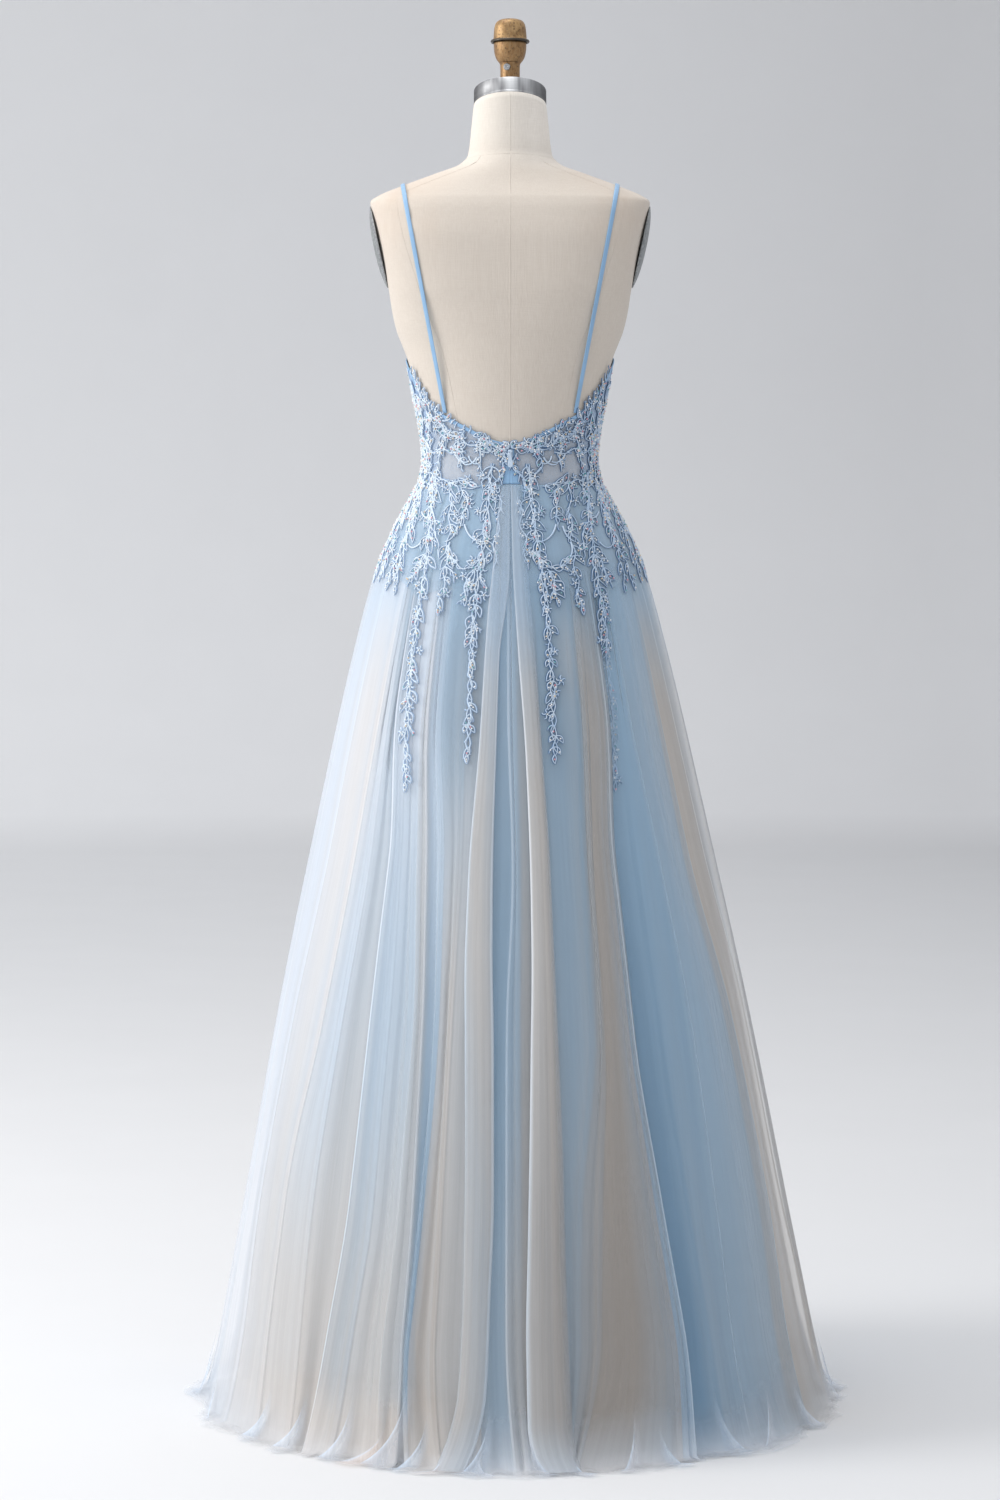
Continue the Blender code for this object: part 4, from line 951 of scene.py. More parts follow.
def pleated(name, folds, heights, seed):
    """A sheet of tulle laid in pleats round the skirt: a closed ring of columns, deep pleats folded back."""
    turn = np.degrees(1.0 / skirt_at(heights)[:, :3].mean(1))  # degrees in a metre round the skirt
    depth_here, lap, fade = (curve(heights)[:, 0] for curve in (OUT_DEPTH, LAP, EDGE_FADE))
    lines = fold_lines(folds, heights)
    count = len(lines)
    columns = []  # angle, drop, beige, pale, deep, cover

    def column(angle, drop, tint):
        columns.append((angle, drop, *np.clip(tint, 0, 1).T))

    def depth_of(step):
        return step * depth_here * (1.0 if step > OVERLAP else 0.45)

    for k in range(count):
        line, step, side, edge, own = lines[k]
        before = lines[k - 1][4]
        over, under = (before, own) if side > 0 else (own, before)
        depth = depth_of(step)
        # the fold's edge: denser cloth with a painted highlight, paler and less beige and deep
        strip = over + np.outer(edge * fade, (-0.25, 0.5, -0.5, 0.0))
        strip[:, 3] = over[:, 3] * (1 + 0.9 * edge * fade)
        # painted shadow: deeper just past a deep fold, under the cloth that folds over it
        shade = under + np.outer(edge * fade, (0.0, -0.1, 0.45, 0.0)) * (step > OVERLAP)
        hidden = over * (1, 1, 1, 0.6)
        moves = [  # distance past the line, share of the step, tint
            (-2.2 * EDGE, 0.05, over), (-EDGE, 0.0, over), (-0.85 * EDGE, 0.0, strip),
            (-0.1 * EDGE, 0.05, strip), (0.0, 0.18, strip),
        ]
        if step > OVERLAP:
            moves += [
                (-0.35 * lap, 0.4, hidden), (-0.95 * lap, 0.62, hidden), (-lap, 0.74, hidden),
                (-0.85 * lap, 0.88, hidden), (-0.3 * lap, 0.98, under * (1, 1, 1, 0.7)),
            ]
        moves += [(0.3 * EDGE, 1.0, shade), (1.5 * EDGE, 1.0, shade), (3.5 * EDGE, 0.96, under)]
        for move, drop, tint in moves[::side]:
            column(line + side * move * turn, depth * drop, tint)
        following, next_step, next_side, next_edge, after = lines[(k + 1) % count]
        if k == count - 1:
            following = following + 360.0
        start = line + (3.5 if side > 0 else 2.2) * EDGE * turn
        end = following - (2.2 if next_side > 0 else 3.5) * EDGE * turn
        room = following - line
        start, end = np.minimum(start, line + 0.45 * room), np.maximum(end, following - 0.45 * room)
        low, high = depth * (side > 0), depth_of(next_step) * (next_side < 0)
        for j in range(1, PANEL_COLUMNS + 1):
            s = j / (PANEL_COLUMNS + 1)
            ease = s * s * (3 - 2 * s)
            drop = low + (high - low) * ease + SWELL * depth_here * math.sin(math.pi * s) ** 2
            blend = 0.0 if next_edge > 0.3 else np.clip((s - 0.45) / 0.55, 0, 1)
            column(start + (end - start) * s, drop, own + (after - own) * blend)
    angle, drop, beige, pale, deep, cover = (np.stack([c[i] for c in columns], 1) for i in range(6))
    high = heights[:, None]
    # near the floor the cloth turns paler and denser, painted light over the shade under the skirt
    mist = np.clip(1 - high / (0.075 + 0.025 * waves(angle, 0.0, seed + 14)), 0, 1)
    beige, deep = beige * (1 - 0.5 * mist), deep * (1 - mist)
    pale = pale + (0.85 - pale) * mist
    cover = cover + (0.62 - cover) * mist
    for across, up, wide, tall, more_beige, more_pale, more_deep in TONE_PAINTED_LIGHT_AND_SHADE_PATCHES:
        here = np.exp(-((angle - across) / wide) ** 2 - ((high - up) / tall) ** 2)
        beige, pale, deep = beige + more_beige * here, pale + more_pale * here, deep + more_deep * here
    angle = angle + swirl(angle, high)
    uneven = (1.0 + waves(angle, high, seed)) * 0.12 * depth_here[:, None]
    inset = 0.2 * MM + np.maximum(drop + uneven, 0.0)
    points = skirt_point(angle, high, inset)
    fields = tuple(np.clip(field, 0, 1) for field in (beige, pale, deep, cover))
    points, fields = with_puddle(points, angle[-1], inset[-1], fields, seed)
    return skirt_piece(name, points, fields, heights, OUTER)


def swirl(angle, height):
    """Near the floor the folds sweep sideways, some one way and some the other."""
    low = np.clip(1 - height / 0.15, 0, 1) ** 1.7
    return low * 6.5 * waves(angle, 0.0, 77)


# how far out of the lobe each ring is, how high it lies, and 1 on the pale edge
PUDDLE_RINGS = ((0.3, 0.004, 0), (0.6, 0.003, 0), (0.85, 0.0024, 0), (0.93, 0.002, 1), (1.0, 0.0016, 1))


def with_puddle(points, angle, inset, fields, seed, reach=0.028):
    """The last of the cloth lies out on the floor in uneven lobes, with a pale edge."""
    spread = 0.55 + 0.35 * waves(angle, 0.0, seed + 5) + 0.35 * waves(angle * 2.6, 0.0, seed + 6)
    spread = np.clip(spread + 0.25 * waves(angle * 7.0, 0.0, seed + 7), 0.06, 1.0)
    rings, made = [points], [list(fields)]
    for share, lift, edge in PUDDLE_RINGS:
        high = np.maximum(lift * (1.1 + 1.0 * waves(angle * 5.0, 3.0, seed + 9)), 0.0006)
        away = inset * (1 - 0.5 * share) - reach * share * spread
        rings.append(skirt_point(angle + 1.6 * share * waves(angle * 2.0, 0.0, seed + 8), high, away)[None])
        beige, pale, deep, cover = (field[-1:] for field in fields)
        made.append([
            np.clip(beige - 0.2 * edge, 0, 1), np.clip(pale + 0.25 + 0.3 * edge, 0, 1), deep * 0.5,
            np.clip(cover * (1.0 - 0.8 * share) + 0.1 * edge, 0, 1),
        ])
    return np.concatenate(rings), [np.concatenate(field) for field in zip(*made)]


def skirt_piece(name, points, fields, heights, finish):
    """The piece of a ring of columns, with its flat size in metres as its UV map."""
    beige, pale, deep, cover = fields
    middle = np.argmin(np.abs(heights - 0.3))
    return piece(
        name, points, grid_faces(*beige.shape, True), finish, tint=beige, pale=pale, deep=deep, cover=cover,
        uv=(run_along(points[middle]), run_along(points[:, 0])[:, None]),
    )


def heights_down(stop, count=64):
    """Heights from the waist down, closer together near both ends."""
    share = np.linspace(0, 1, count)
    return SKIRT_TOP + (stop - SKIRT_TOP) * (0.75 * share + 0.25 * (1 - np.cos(np.pi * share)) / 2)


def smooth_tulle(name, folds, heights, seed):
    """The tulle beneath: the same cloths, in broad soft waves."""
    count = 360
    angles = np.linspace(-180, 180, count, endpoint=False)
    lines = fold_lines(folds, heights)
    fields = np.empty((len(heights), count, 3))
    for i in range(len(heights)):
        places, tints = [], []
        for k, (line, _, _, edge, own) in enumerate(lines):
            following = lines[(k + 1) % len(lines)][0][i] + (360.0 if k == len(lines) - 1 else 0.0)
            previous = lines[k - 1][0][i] - (360.0 if k == 0 else 0.0)
            soft = 0.6 if edge > 0.3 else 0.35 * min(line[i] - previous, following - line[i])
            places += [line[i] - soft, line[i] + soft]
            tints += [lines[k - 1][4][i, :3], own[i, :3]]
        for j, tint in enumerate(np.transpose(tints)):
            fields[i, :, j] = np.interp(angles, places, tint, period=360.0)
    beige, pale, deep = np.moveaxis(fields, -1, 0)
    from_side = np.abs(np.abs(angles) - 90.0)
    cover = 0.42 + 0.4 * np.minimum(1.0, from_side / 30.0)
    high = heights[:, None]
    depth = skirt_at(heights)[:, 3:4]
    inset = 0.45 * depth + 0.001 + 0.16 * depth * (1.0 + waves(angles, high, seed))
    turned = angles + swirl(angles, high)
    points = skirt_point(turned, high, inset)
    # near the floor the cloth turns paler, painted light over the shade under the skirt
    mist = np.clip(1 - high / 0.06, 0, 1)
    beige, deep, cover = beige * (1 - 0.5 * mist), deep * (1 - mist), cover * (1 - 0.35 * mist)
    fields = (beige, np.clip(pale + 0.7 * mist, 0, 1), deep, cover)
    points, fields = with_puddle(points, turned[-1], inset[-1], fields, seed, 0.016)
    return skirt_piece(name, points, fields, heights, INNER)


def build_lining():
    """The satin skirt beneath, a thin shell closed at its hem."""
    sides, rows = 216, 44
    angles = np.linspace(0, 360, sides, endpoint=False)
    heights = heights_down(LINING_HEM, rows)[:, None]
    fold, inset = (skirt_at(heights[:, 0])[:, i, None] for i in (3, 4))
    wave = waves(angles, heights, 51) * 0.22 * fold
    outside = skirt_point(angles, heights, inset + np.maximum(wave, -0.9 * (inset - fold)))
    inside = skirt_point(angles, heights, inset + wave + 1.0 * MM)[::-1]
    shell = np.concatenate([outside, inside])
    index = np.arange(len(shell) * sides).reshape(len(shell), sides)
    ring = np.stack([index[-1], np.roll(index[-1], -1), np.roll(index[0], -1), index[0]], -1)
    return piece("skirt_lining", shell, np.concatenate([grid_faces(len(shell), sides, True), ring]), LINING)


def build_skirt():
    folds = round_folds()
    outer = pleated("skirt_tulle_outer", folds, heights_down(0.006), 21)
    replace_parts(outer, *[f"tulle_gore_{i:02d}" for i in range(1, 13)])
    inner = smooth_tulle("skirt_tulle_inner", folds, heights_down(0.01, 52), 33)
    lining = build_lining()
    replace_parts(lining, *[f"lining_gore_{i}" for i in range(1, 7)])
    return outer, inner, lining


FLAP_EDGES = {  # the two folds that fall from the zip: height, outer edge, inner edge in degrees
    "left": (
        (1.1597, -5.6, -0.2), (1.1, -6.6, -0.2), (1.054, -7.3, -0.3), (1.005, -8.5, -1.9), (0.95, -9.1, -4.0),
        (0.85, -9.9, -4.6), (0.69, -11.8, -5.2), (0.6, -11.9, -5.1), (0.49, -11.2, -4.6), (0.31, -10.3, -4.4),
        (0.2, -10.2, -5.0), (0.09, -10.7, -5.6), (0.04, -12.2, -7.0), (0.0, -14.4, -9.2),
    ),
    "right": (
        (1.1597, 6.0, 0.2), (1.1, 6.8, 0.6), (1.066, 7.2, 0.8), (0.968, 8.3, 2.2), (0.824, 9.4, 4.2),
        (0.705, 10.1, 4.6), (0.6, 10.0, 4.4), (0.48, 10.0, 3.6), (0.37, 9.9, 2.9), (0.25, 9.5, 2.1),
        (0.14, 9.3, 1.5), (0.05, 9.3, 1.5), (0.02, 9.8, 2.4), (0.0, 10.6, 4.2),
    ),
}


# folds that break sideways on the floor: start and end of the leading edge as distance round from the centre
# back and height (below 0: out on the floor); how wide the cloth behind it spreads; how peach it is
HEM_SWEEPS = (
    ((-0.14, 0.11), (-0.196, 0.002), 0.05, 0.15), ((-0.112, 0.07), (-0.16, -0.006), 0.034, 0.0),
    ((-0.166, 0.052), (-0.232, -0.002), 0.044, 0.9), ((-0.214, 0.086), (-0.256, 0.0), 0.04, 0.2),
    ((-0.082, 0.05), (-0.126, -0.01), 0.034, 0.6), ((-0.036, 0.08), (-0.082, -0.004), 0.04, 0.0),
    ((-0.05, 0.036), (-0.02, -0.01), 0.024, 0.2), ((0.012, 0.06), (0.048, -0.006), 0.036, 0.15),
    ((0.06, 0.036), (0.092, -0.01), 0.026, 0.1), ((0.142, 0.07), (0.112, -0.006), 0.04, 0.3),
    ((0.176, 0.046), (0.214, -0.006), 0.034, 0.0), ((0.262, 0.08), (0.306, -0.002), 0.04, 0.0),
    ((0.352, 0.076), (0.318, 0.0), 0.034, 0.3), ((-0.286, 0.08), (-0.336, -0.002), 0.044, 0.1),
    ((-0.352, 0.07), (-0.396, 0.0), 0.036, 0.0), ((0.42, 0.074), (0.47, -0.002), 0.04, 0.1),
)
HEM_RADIUS = 0.4
SWEEP_ROWS, SWEEP_COLUMNS = 24, 11


def build_hem_sweeps():
    """Small folds of the tulle that break sideways on to the floor, each with one crisp edge."""
    made = np.random.default_rng(41)
    sweeps = list(HEM_SWEEPS)
    for at in np.arange(0.56, 2.02, 0.075):
        at, turn = at + made.uniform(-0.02, 0.02), made.choice((-1, 1)) * made.uniform(0.03, 0.055)
        low = made.uniform(-0.008, 0.002)
        start = (at, made.uniform(0.04, 0.1))
        sweeps.append((start, (at + turn, low), made.uniform(0.026, 0.046), made.uniform(0, 0.4)))
    points, faces, tint, cover = [], [], [], []
    t, across = np.linspace(0, 1, SWEEP_ROWS)[:, None], np.linspace(0, 1, SWEEP_COLUMNS)
    for number, (start, end, width, peach) in enumerate(sweeps):
        way = math.copysign(1.0, end[0] - start[0])
        half = width * (0.1 + 0.9 * t ** 1.2) * across
        round_by = start[0] + (end[0] - start[0]) * t ** 2.2 - way * 0.75 * half
        up = start[1] + (end[1] - start[1]) * (1 - (1 - t) ** 1.3) - 0.55 * half * t
        up = up + 2.0 * MM * np.sin(7.0 * across + number) * t
        ridge = 2.6 * MM * np.exp(-((across - 0.1) / 0.14) ** 2) * np.sin(np.pi * np.clip(t, 0, 0.9))
        out = np.clip(-up, 0.0, 0.018)
        high = np.maximum(up, 2.4 * MM + 0.6 * ridge)
        spread = 4.0 * MM * np.clip(1 - up / 0.02, 0, 1)
        place = skirt_point(np.degrees(round_by / HEM_RADIUS), high, -1.2 * MM - ridge - out - spread)
        points.append(place.reshape(-1, 3))
        faces.append(grid_faces(SWEEP_ROWS, SWEEP_COLUMNS) + number * SWEEP_ROWS * SWEEP_COLUMNS)
        fade = np.clip(t / 0.5, 0, 1) ** 1.5 * np.clip((1 - t) / 0.12, 0, 1)
        crisp = np.exp(-((across - 0.02) / 0.07) ** 2)
        cover.append((fade * (0.5 * (1 - across) ** 0.9 + 0.22 * crisp)).ravel())
        tint.append((peach * (1 - crisp) * np.ones_like(fade)).ravel())
    points = np.concatenate(points)
    uv = (np.arctan2(points[:, 0], points[:, 1]) * HEM_RADIUS, points[:, 2])
    made = piece(
        "hem_sweeps", points, np.concatenate(faces), HEM_TULLE, uv, cover=np.concatenate(cover),
        tint=np.concatenate(tint),
    )
    return made


FLAP_FACE = 19  # of the roll's columns, on its face; the rest turn in behind
FLAP_RIDGE = (
    0, 0.3, 0.52, 0.66, 0.74, 0.8, 0.84, 0.87, 0.9, 0.93, 0.96, 0.98, 0.97, 0.92, 0.84, 0.74, 0.6, 0.36, 0.0,
)


def build_flaps():
    """Each flap is a flattened roll of tulle: a soft face with small folds, and turned-in edges."""
    heights = heights_down(0.004, 60)
    high = heights[:, None]
    # 0 at the outer edge and 1 at the inner edge
    share = np.concatenate([np.linspace(0, 1, FLAP_FACE), np.linspace(1, 0, 9)[1:-1]])
    face = np.arange(len(share)) < FLAP_FACE
    ridge = np.append(FLAP_RIDGE, np.zeros(7))
    depth = skirt_at(heights)[:, 3:4]
    for side, sign in SIDES:
        edge = Curve(FLAP_EDGES[side])(heights)
        lift = 0.5 * MM + 1.1 * MM * face + ridge * (0.6 * MM + 0.16 * depth)
        lift = lift + 0.6 * MM * face * (1.0 + waves(share * 110.0, high * 0.4, 60 + sign))
        tucked = 1 - np.clip((SKIRT_TOP - high) / 0.014, 0, 1) ** 0.8
        angle = edge[:, :1] + (edge[:, 1:] - edge[:, :1]) * share
        points = skirt_point(angle, high, 0.6 * MM * tucked - lift * (1 - tucked))
        upper = between(high, 0.25, 0.6)
        inner_line = between(share, 0.9, 1.0) * (0.2 + 0.8 * between(high, 1.04, 0.92))
        # pale along the edge lines is denser turned cloth with a painted highlight; deep is painted shade, more
        # lower down and, on the right flap, towards its outer edge
        if side == "left":
            line = between(share, 0.1, 0.0) * (0.25 + 0.75 * upper) + inner_line
            tint = 0.8 + 0.1 * np.sin(high * 9.0 + share * 5.0) - 0.7 * line
            pale = 0.05 + 0.15 * upper + 0.65 * line
            deep, cover = 0.1 + 0.22 * (1 - upper), 0.42 + 0.1 * upper + 0.3 * line
        else:
            tint = 0.85 - 0.5 * inner_line + 0.15 * (1 - share)
            pale = (0.05 + 0.28 * upper) * (0.1 + 0.9 * share) + 0.75 * inner_line
            deep = 0.45 * (1 - share) + 0.5 * (1 - upper)
            cover = 0.62 - 0.42 * between(share, 0.3, 0.0) + 0.3 * inner_line
        by_zip, mist = between(high, 0.8, 1.02), between(high, 0.06, 0.0)
        tint = tint * (0.2 + 0.8 * between(high, 1.02, 0.92)) * (1 - 0.5 * by_zip) - 0.08
        cover = cover * (0.75 + 0.25 * between(high, 1.0, 0.92)) * (1 - 0.22 * by_zip)
        tint, pale, deep = tint * (1 - 0.6 * mist), pale + 0.3 * by_zip + 0.6 * mist, deep * (1 - mist)
        tint, pale, deep, cover = (np.clip(field, 0, 1) for field in (tint, pale, deep, cover))
        made = piece(
            f"flap_{side}_tulle", points, grid_faces(*angle.shape, True), OUTER,
            uv=(share * 0.09, WAIST - high), tint=tint, pale=pale, deep=deep, cover=cover,
        )
        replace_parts(made, f"back_flap_{side}")


# ---- Bodice -------------------------------------------------------------------------------------------
def build_bodice():
    """Sheer net over the form, denser at the neckline, sides and front than in the window at the back."""
    sides, rows, trim_sides = 240, 26, 10
    angles = np.linspace(0, 360, sides, endpoint=False)
    top = top_edge(angles)
    heights = WAIST + (top - WAIST) * np.linspace(0, 1, rows)[:, None]
    points = form_point(angles, heights, 1.9 * MM + cup_ease(angles, heights))
    cover = 0.42 + 0.58 * between(from_centre_back(angles), 52, 74)
    cover = np.maximum(cover, 0.75 * between(heights, top - 0.01, top - 0.004))
    cover = np.maximum(cover, 0.55 * between(heights, 1.166, 1.162))
    made = piece(
        "bodice_net", points, grid_faces(rows, sides, True), NET,
        uv=(np.radians(angles) * BODICE_RADIUS, heights), cover=cover,
    )
    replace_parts(made, *[f"bodice_{part}_{side}" for part in ("back", "side", "front") for side, _ in SIDES])
    heights = top - 1.5 * MM
    place = form_point(angles, heights, 2.1 * MM + cup_ease(angles, heights))
    out = normals_at(angles, heights, form_point)
    up = np.cross(out, unit(np.roll(place, -1, 0) - np.roll(place, 1, 0)))
    up *= np.sign(up[:, 2:])
    turn = np.linspace(0, 2 * np.pi, trim_sides, endpoint=False)[:, None]
    ring = place[:, None] + up[:, None] * np.sin(turn) * 2.4 * MM + out[:, None] * np.cos(turn) * 0.9 * MM
    index = np.arange(sides * trim_sides).reshape(sides, trim_sides)
    along, across = np.roll(index, -1, 0), np.roll(index, -1, 1)
    faces = np.stack([index, across, np.roll(across, -1, 0), along], -1)
    trim = piece("neckline_binding", ring, faces.reshape(-1, 4), SATIN)
    return made, trim


def zip_block(name, size, place):
    """A block of the zip with rounded edges."""
    shape = bmesh.new()
    bmesh.ops.create_cube(shape, size=1.0)
    bmesh.ops.scale(shape, vec=size, verts=shape.verts)
    bmesh.ops.bevel(shape, geom=shape.edges[:], offset=min(size) * 0.28, segments=3, affect="EDGES")
    bmesh.ops.translate(shape, vec=place, verts=shape.verts)
    mesh = bpy.data.meshes.new(name)
    shape.to_mesh(mesh)
    shape.free()
    mesh.shade_smooth()
    made = shown(name, mesh, ZIP)
    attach(made, GOWN)
    return made


TAB_OUTLINE = (  # distance below the axis and half width, in millimetres
    (-0.9, 0.6), (-0.3, 1.2), (2.6, 1.2), (6.0, 1.7), (9.0, 2.3), (12.5, 2.9), (15.5, 3.4), (17.2, 3.2),
    (18.4, 2.6), (19.4, 1.2),
)
TAB_LEVELS = ((-0.6, 0.8), (-0.45, 1.0), (0.45, 1.0), (0.6, 0.8))  # depth in millimetres, share of the width


def build_zip():
    """Blue satin placket with its two turned edges, the slider, and the pull tab on its axis."""
    heights = np.linspace(WAIST, 1.2045, 18)[:, None]
    across = np.linspace(-1, 1, 21)
    angle = across * (2.4 + 3.6 * between(heights, 1.202, 1.162))
    seam = 0.5 * MM * np.exp(-(across / 0.1) ** 2)
    lip = 0.45 * MM * np.exp(-((np.abs(across) - 0.16) / 0.08) ** 2)
    points = form_point(angle, heights, 2.5 * MM - seam + lip)
    low = form_point(angle, heights, 1.2 * MM)
    shell = np.concatenate([points, low[:, ::-1]], 1)
    made = piece("placket_satin", shell, capped(*shell.shape[:2]), SATIN)
    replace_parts(made, "zip_placket")

    slider = zip_block("slider_body", (5.6 * MM, 2.2 * MM, 9.0 * MM), (0.0, 0.08543, 1.1985))
    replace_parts(slider, "zip_slider")
    for name, sign in (("right", -1), ("left", 1)):
        zip_block(f"slider_lug_{name}", (1.1 * MM, 3.2 * MM, 2.6 * MM), (sign * 2.1 * MM, 0.08733, 1.2005))
    rows = np.array(rounded(np.array(TAB_OUTLINE) * MM, 3))
    outline = np.concatenate([rows, (rows * (1, -1))[::-1]])
    down, wide = outline.T
    loops = [TAB_AXIS + np.stack([wide * share, 0 * wide + off * MM, -down], -1) for off, share in TAB_LEVELS]
    half, count = len(rows), len(outline)
    faces = [tuple(f) for f in grid_faces(4, count, True)]
    for start, flip in ((0, 1), (3 * count, -1)):
        for j in range(half - 1):
            quad = (start + j, start + j + 1, start + count - 2 - j, start + count - 1 - j)
            faces.append(quad[::flip])
    tab = piece("pull_tab", loops, faces, ZIP, body=PULL)
    tab.data.set_sharp_from_angle(angle=math.radians(60))
    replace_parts(tab, "zip_pull_tab")


# ---- Lace ---------------------------------------------------------------------------------------------
class Lace:
    """Cords, beads and their net ground, in flat coordinates: distance round from a middle, and height."""

    def __init__(self, middle, away, seed, sink=None):
        self.middle, self.away = middle, away
        self.rng = np.random.default_rng(seed)
        self.paths, self.beads, self.ground = [], [], []
        self.sink = sink

    def place(self, flat, lift):
        u, z = flat[:, 0] * self.away, np.maximum(flat[:, 1], 0.3)
        wide = np.where(z < WAIST, skirt_at(z)[:, 0], form_at(z)[:, 0])
        angle = self.middle + np.degrees(u / wide)
        if self.sink is not None:
            lift = lift - self.sink(z)
        return angle, z, gown_point(angle, z, lift)

    def cord(self, flat, size=1.0, lift=1.1 * MM, ground=1.8 * MM):
        flat = np.asarray(flat, float)
        angle, z, place = self.place(flat, lift)
        out = normals_at(angle, z, gown_point)
        self.paths.append((place, out, np.broadcast_to(size, (len(flat),)).copy()))
        if ground:
            self.ground.append((place - out * (lift - self.rng.uniform(0.25, 0.45) * MM), out, ground))

    def bead(self, flat, lift=2.2 * MM):
        _, _, place = self.place(np.array([flat], float), lift)
        self.beads.append(place[0])


def ribbons(strips):
    """Points and faces of flat strips along paths."""
    points, faces, start = [], [], 0
    for place, out, half in strips:
        across = np.cross(unit(np.gradient(place, axis=0)), out)
        across *= half * np.linspace(1.0, 0.75, len(place))[:, None]
        points.append(np.stack([place - across, place + across], 1).reshape(-1, 3))
        faces.append(grid_faces(len(place), 2) + start)
        start += 2 * len(place)
    return np.concatenate(points), np.concatenate(faces)


def bezier(points, count):
    """Evenly spread points of a smooth path through these flat points."""
    along = run_along(points)
    return Curve(np.column_stack([along, points]))(np.linspace(0, along[-1], count)), along[-1]


def spin(vector, angle):
    c, s = math.cos(angle), math.sin(angle)
    return np.array([vector[0] * c - vector[1] * s, vector[0] * s + vector[1] * c])


def bowed(root, heading, along, off):
    """A flat path from a root: so far along its heading, and so far to the left of it."""
    return root + heading * along[:, None] + spin(heading, math.pi / 2) * off[:, None]


def leaf(lace, root, heading, length, width=0.4):
    """A pointed leaf: a cord outline, or one tapering cord where it is small, and beads down its middle."""
    side = spin(heading, math.pi / 2)
    t = np.linspace(0, 1, 8)
    bend = lace.rng.uniform(-0.24, 0.24) * length * np.sin(np.pi * t * 0.9)
    if length < SMALL_LEAF:
        lace.cord(bowed(root, heading, t * length, bend), 1.2 - 0.75 * t)
        if lace.rng.random() < 0.4:
            lace.bead(root + heading * length * 0.55 + side * bend[4])
        return
    belly = np.sin(np.pi * t ** 0.85) * width * length * 0.5
    for sign in (-1, 1):
        lace.cord(bowed(root, heading, t * length, bend + sign * belly), 1.05 - 0.4 * t)
    for place in lace.rng.choice((0.3, 0.5, 0.72), lace.rng.integers(1, 3), replace=False):
        lace.bead(root + heading * length * place + side * np.interp(place, t, bend))


def rosette(lace, centre, size, petals=5):
    """A small flower: petals of one bowed cord each round a bead."""
    turn = lace.rng.uniform(0, 6.28)
    t = np.linspace(0, 1, 6)
    for i in range(petals):
        heading = spin(ACROSS, turn + i * 2 * math.pi / petals)
        petal = bowed(centre, heading, size * (0.25 + 0.75 * t), np.sin(np.pi * t) * size * 0.22)
        lace.cord(petal, 1.2 - 0.5 * t)
    lace.bead(centre, 2.4 * MM)


def tendril(lace, start, heading, length, curl, size=0.8, ground=1.6 * MM):
    """A curling cord."""
    count = max(6, int(length / 0.0022))
    t = np.linspace(0, 1, count)
    turn = np.cumsum(curl / count * (0.5 + t)) + math.atan2(heading[1], heading[0])
    step = np.stack([np.cos(turn), np.sin(turn)], 1) * length / count
    lace.cord(np.array(start) + np.cumsum(step, 0), size * (1.0 - 0.45 * t), ground=ground)
    if lace.rng.random() < 0.4:
        lace.bead(np.array(start) + step.sum(0))


def twig(lace, root, heading, length):
    """A bowed twig with short curls to both sides."""
    t = np.linspace(0, 1, 9)
    line = bowed(root, heading, t * length, lace.rng.uniform(-0.25, 0.25) * length * np.sin(np.pi * t))
    lace.cord(line, 0.95 - 0.4 * t)
    for k in range(1, 8):
        lean = (1 if k % 2 else -1) * lace.rng.uniform(0.5, 0.95)
        reach = length * 0.36 * (1.1 - 0.5 * t[k])
        tendril(lace, line[k], spin(heading, lean), reach, -0.9 * np.sign(lean), 0.7)


def spray(lace, points, leaves, length, twin=False, buds=0.12, curls=0.35):
    """A stem with leaves and curls to both sides, and a few flowers on it."""
    path, total = bezier(points, max(10, leaves * 3))
    heading = unit(np.gradient(path, axis=0))
    side = np.stack([-heading[:, 1], heading[:, 0]], 1)
    sway = np.sin(np.linspace(0, total / 0.0055, len(path)) + lace.rng.uniform(0, 6)) * 2.6 * MM
    lace.cord(path + side * sway[:, None], 0.95, ground=2.2 * MM)
    if twin:
        lace.cord(path - side * (sway * np.linspace(0.3, 1.3, len(path)))[:, None], 0.8, 1.5 * MM)
    path = path + side * (0.5 * sway)[:, None]
    for i in range(leaves):
        share = (i + 0.3) / leaves
        at = share * (len(path) - 1)
        k = int(at)
        root = path[k] + (path[min(k + 1, len(path) - 1)] - path[k]) * (at - k)
        for sign in (-1, 1):
            chance = lace.rng.random()
            lean = sign * lace.rng.uniform(0.28, 0.8)
            size = length * (1.18 - 0.38 * share) * lace.rng.uniform(0.75, 1.25)
            if chance < 0.64:
                leaf(lace, root, spin(heading[k], lean), size, lace.rng.uniform(0.38, 0.5))
            elif chance < 0.72:
                twig(lace, root, spin(heading[k], lean * 0.9), size * 1.1)
            elif chance < 0.8:
                rosette(lace, root + spin(heading[k], lean) * size * 0.5, size * lace.rng.uniform(0.34, 0.44))
        if lace.rng.random() < curls:
            lean = lace.rng.choice((-1, 1)) * lace.rng.uniform(0.6, 1.3)
            tendril(lace, root, spin(heading[k], lean), length * 0.9, -2.8 * np.sign(lean))
        if lace.rng.random() < buds:
            off = side[k] * lace.rng.choice((-1, 1)) * lace.rng.uniform(0.2, 0.7) * length
            rosette(lace, root + off, lace.rng.uniform(5.0, 7.0) * MM)
    leaf(lace, path[-1], heading[-1], length * 0.7)


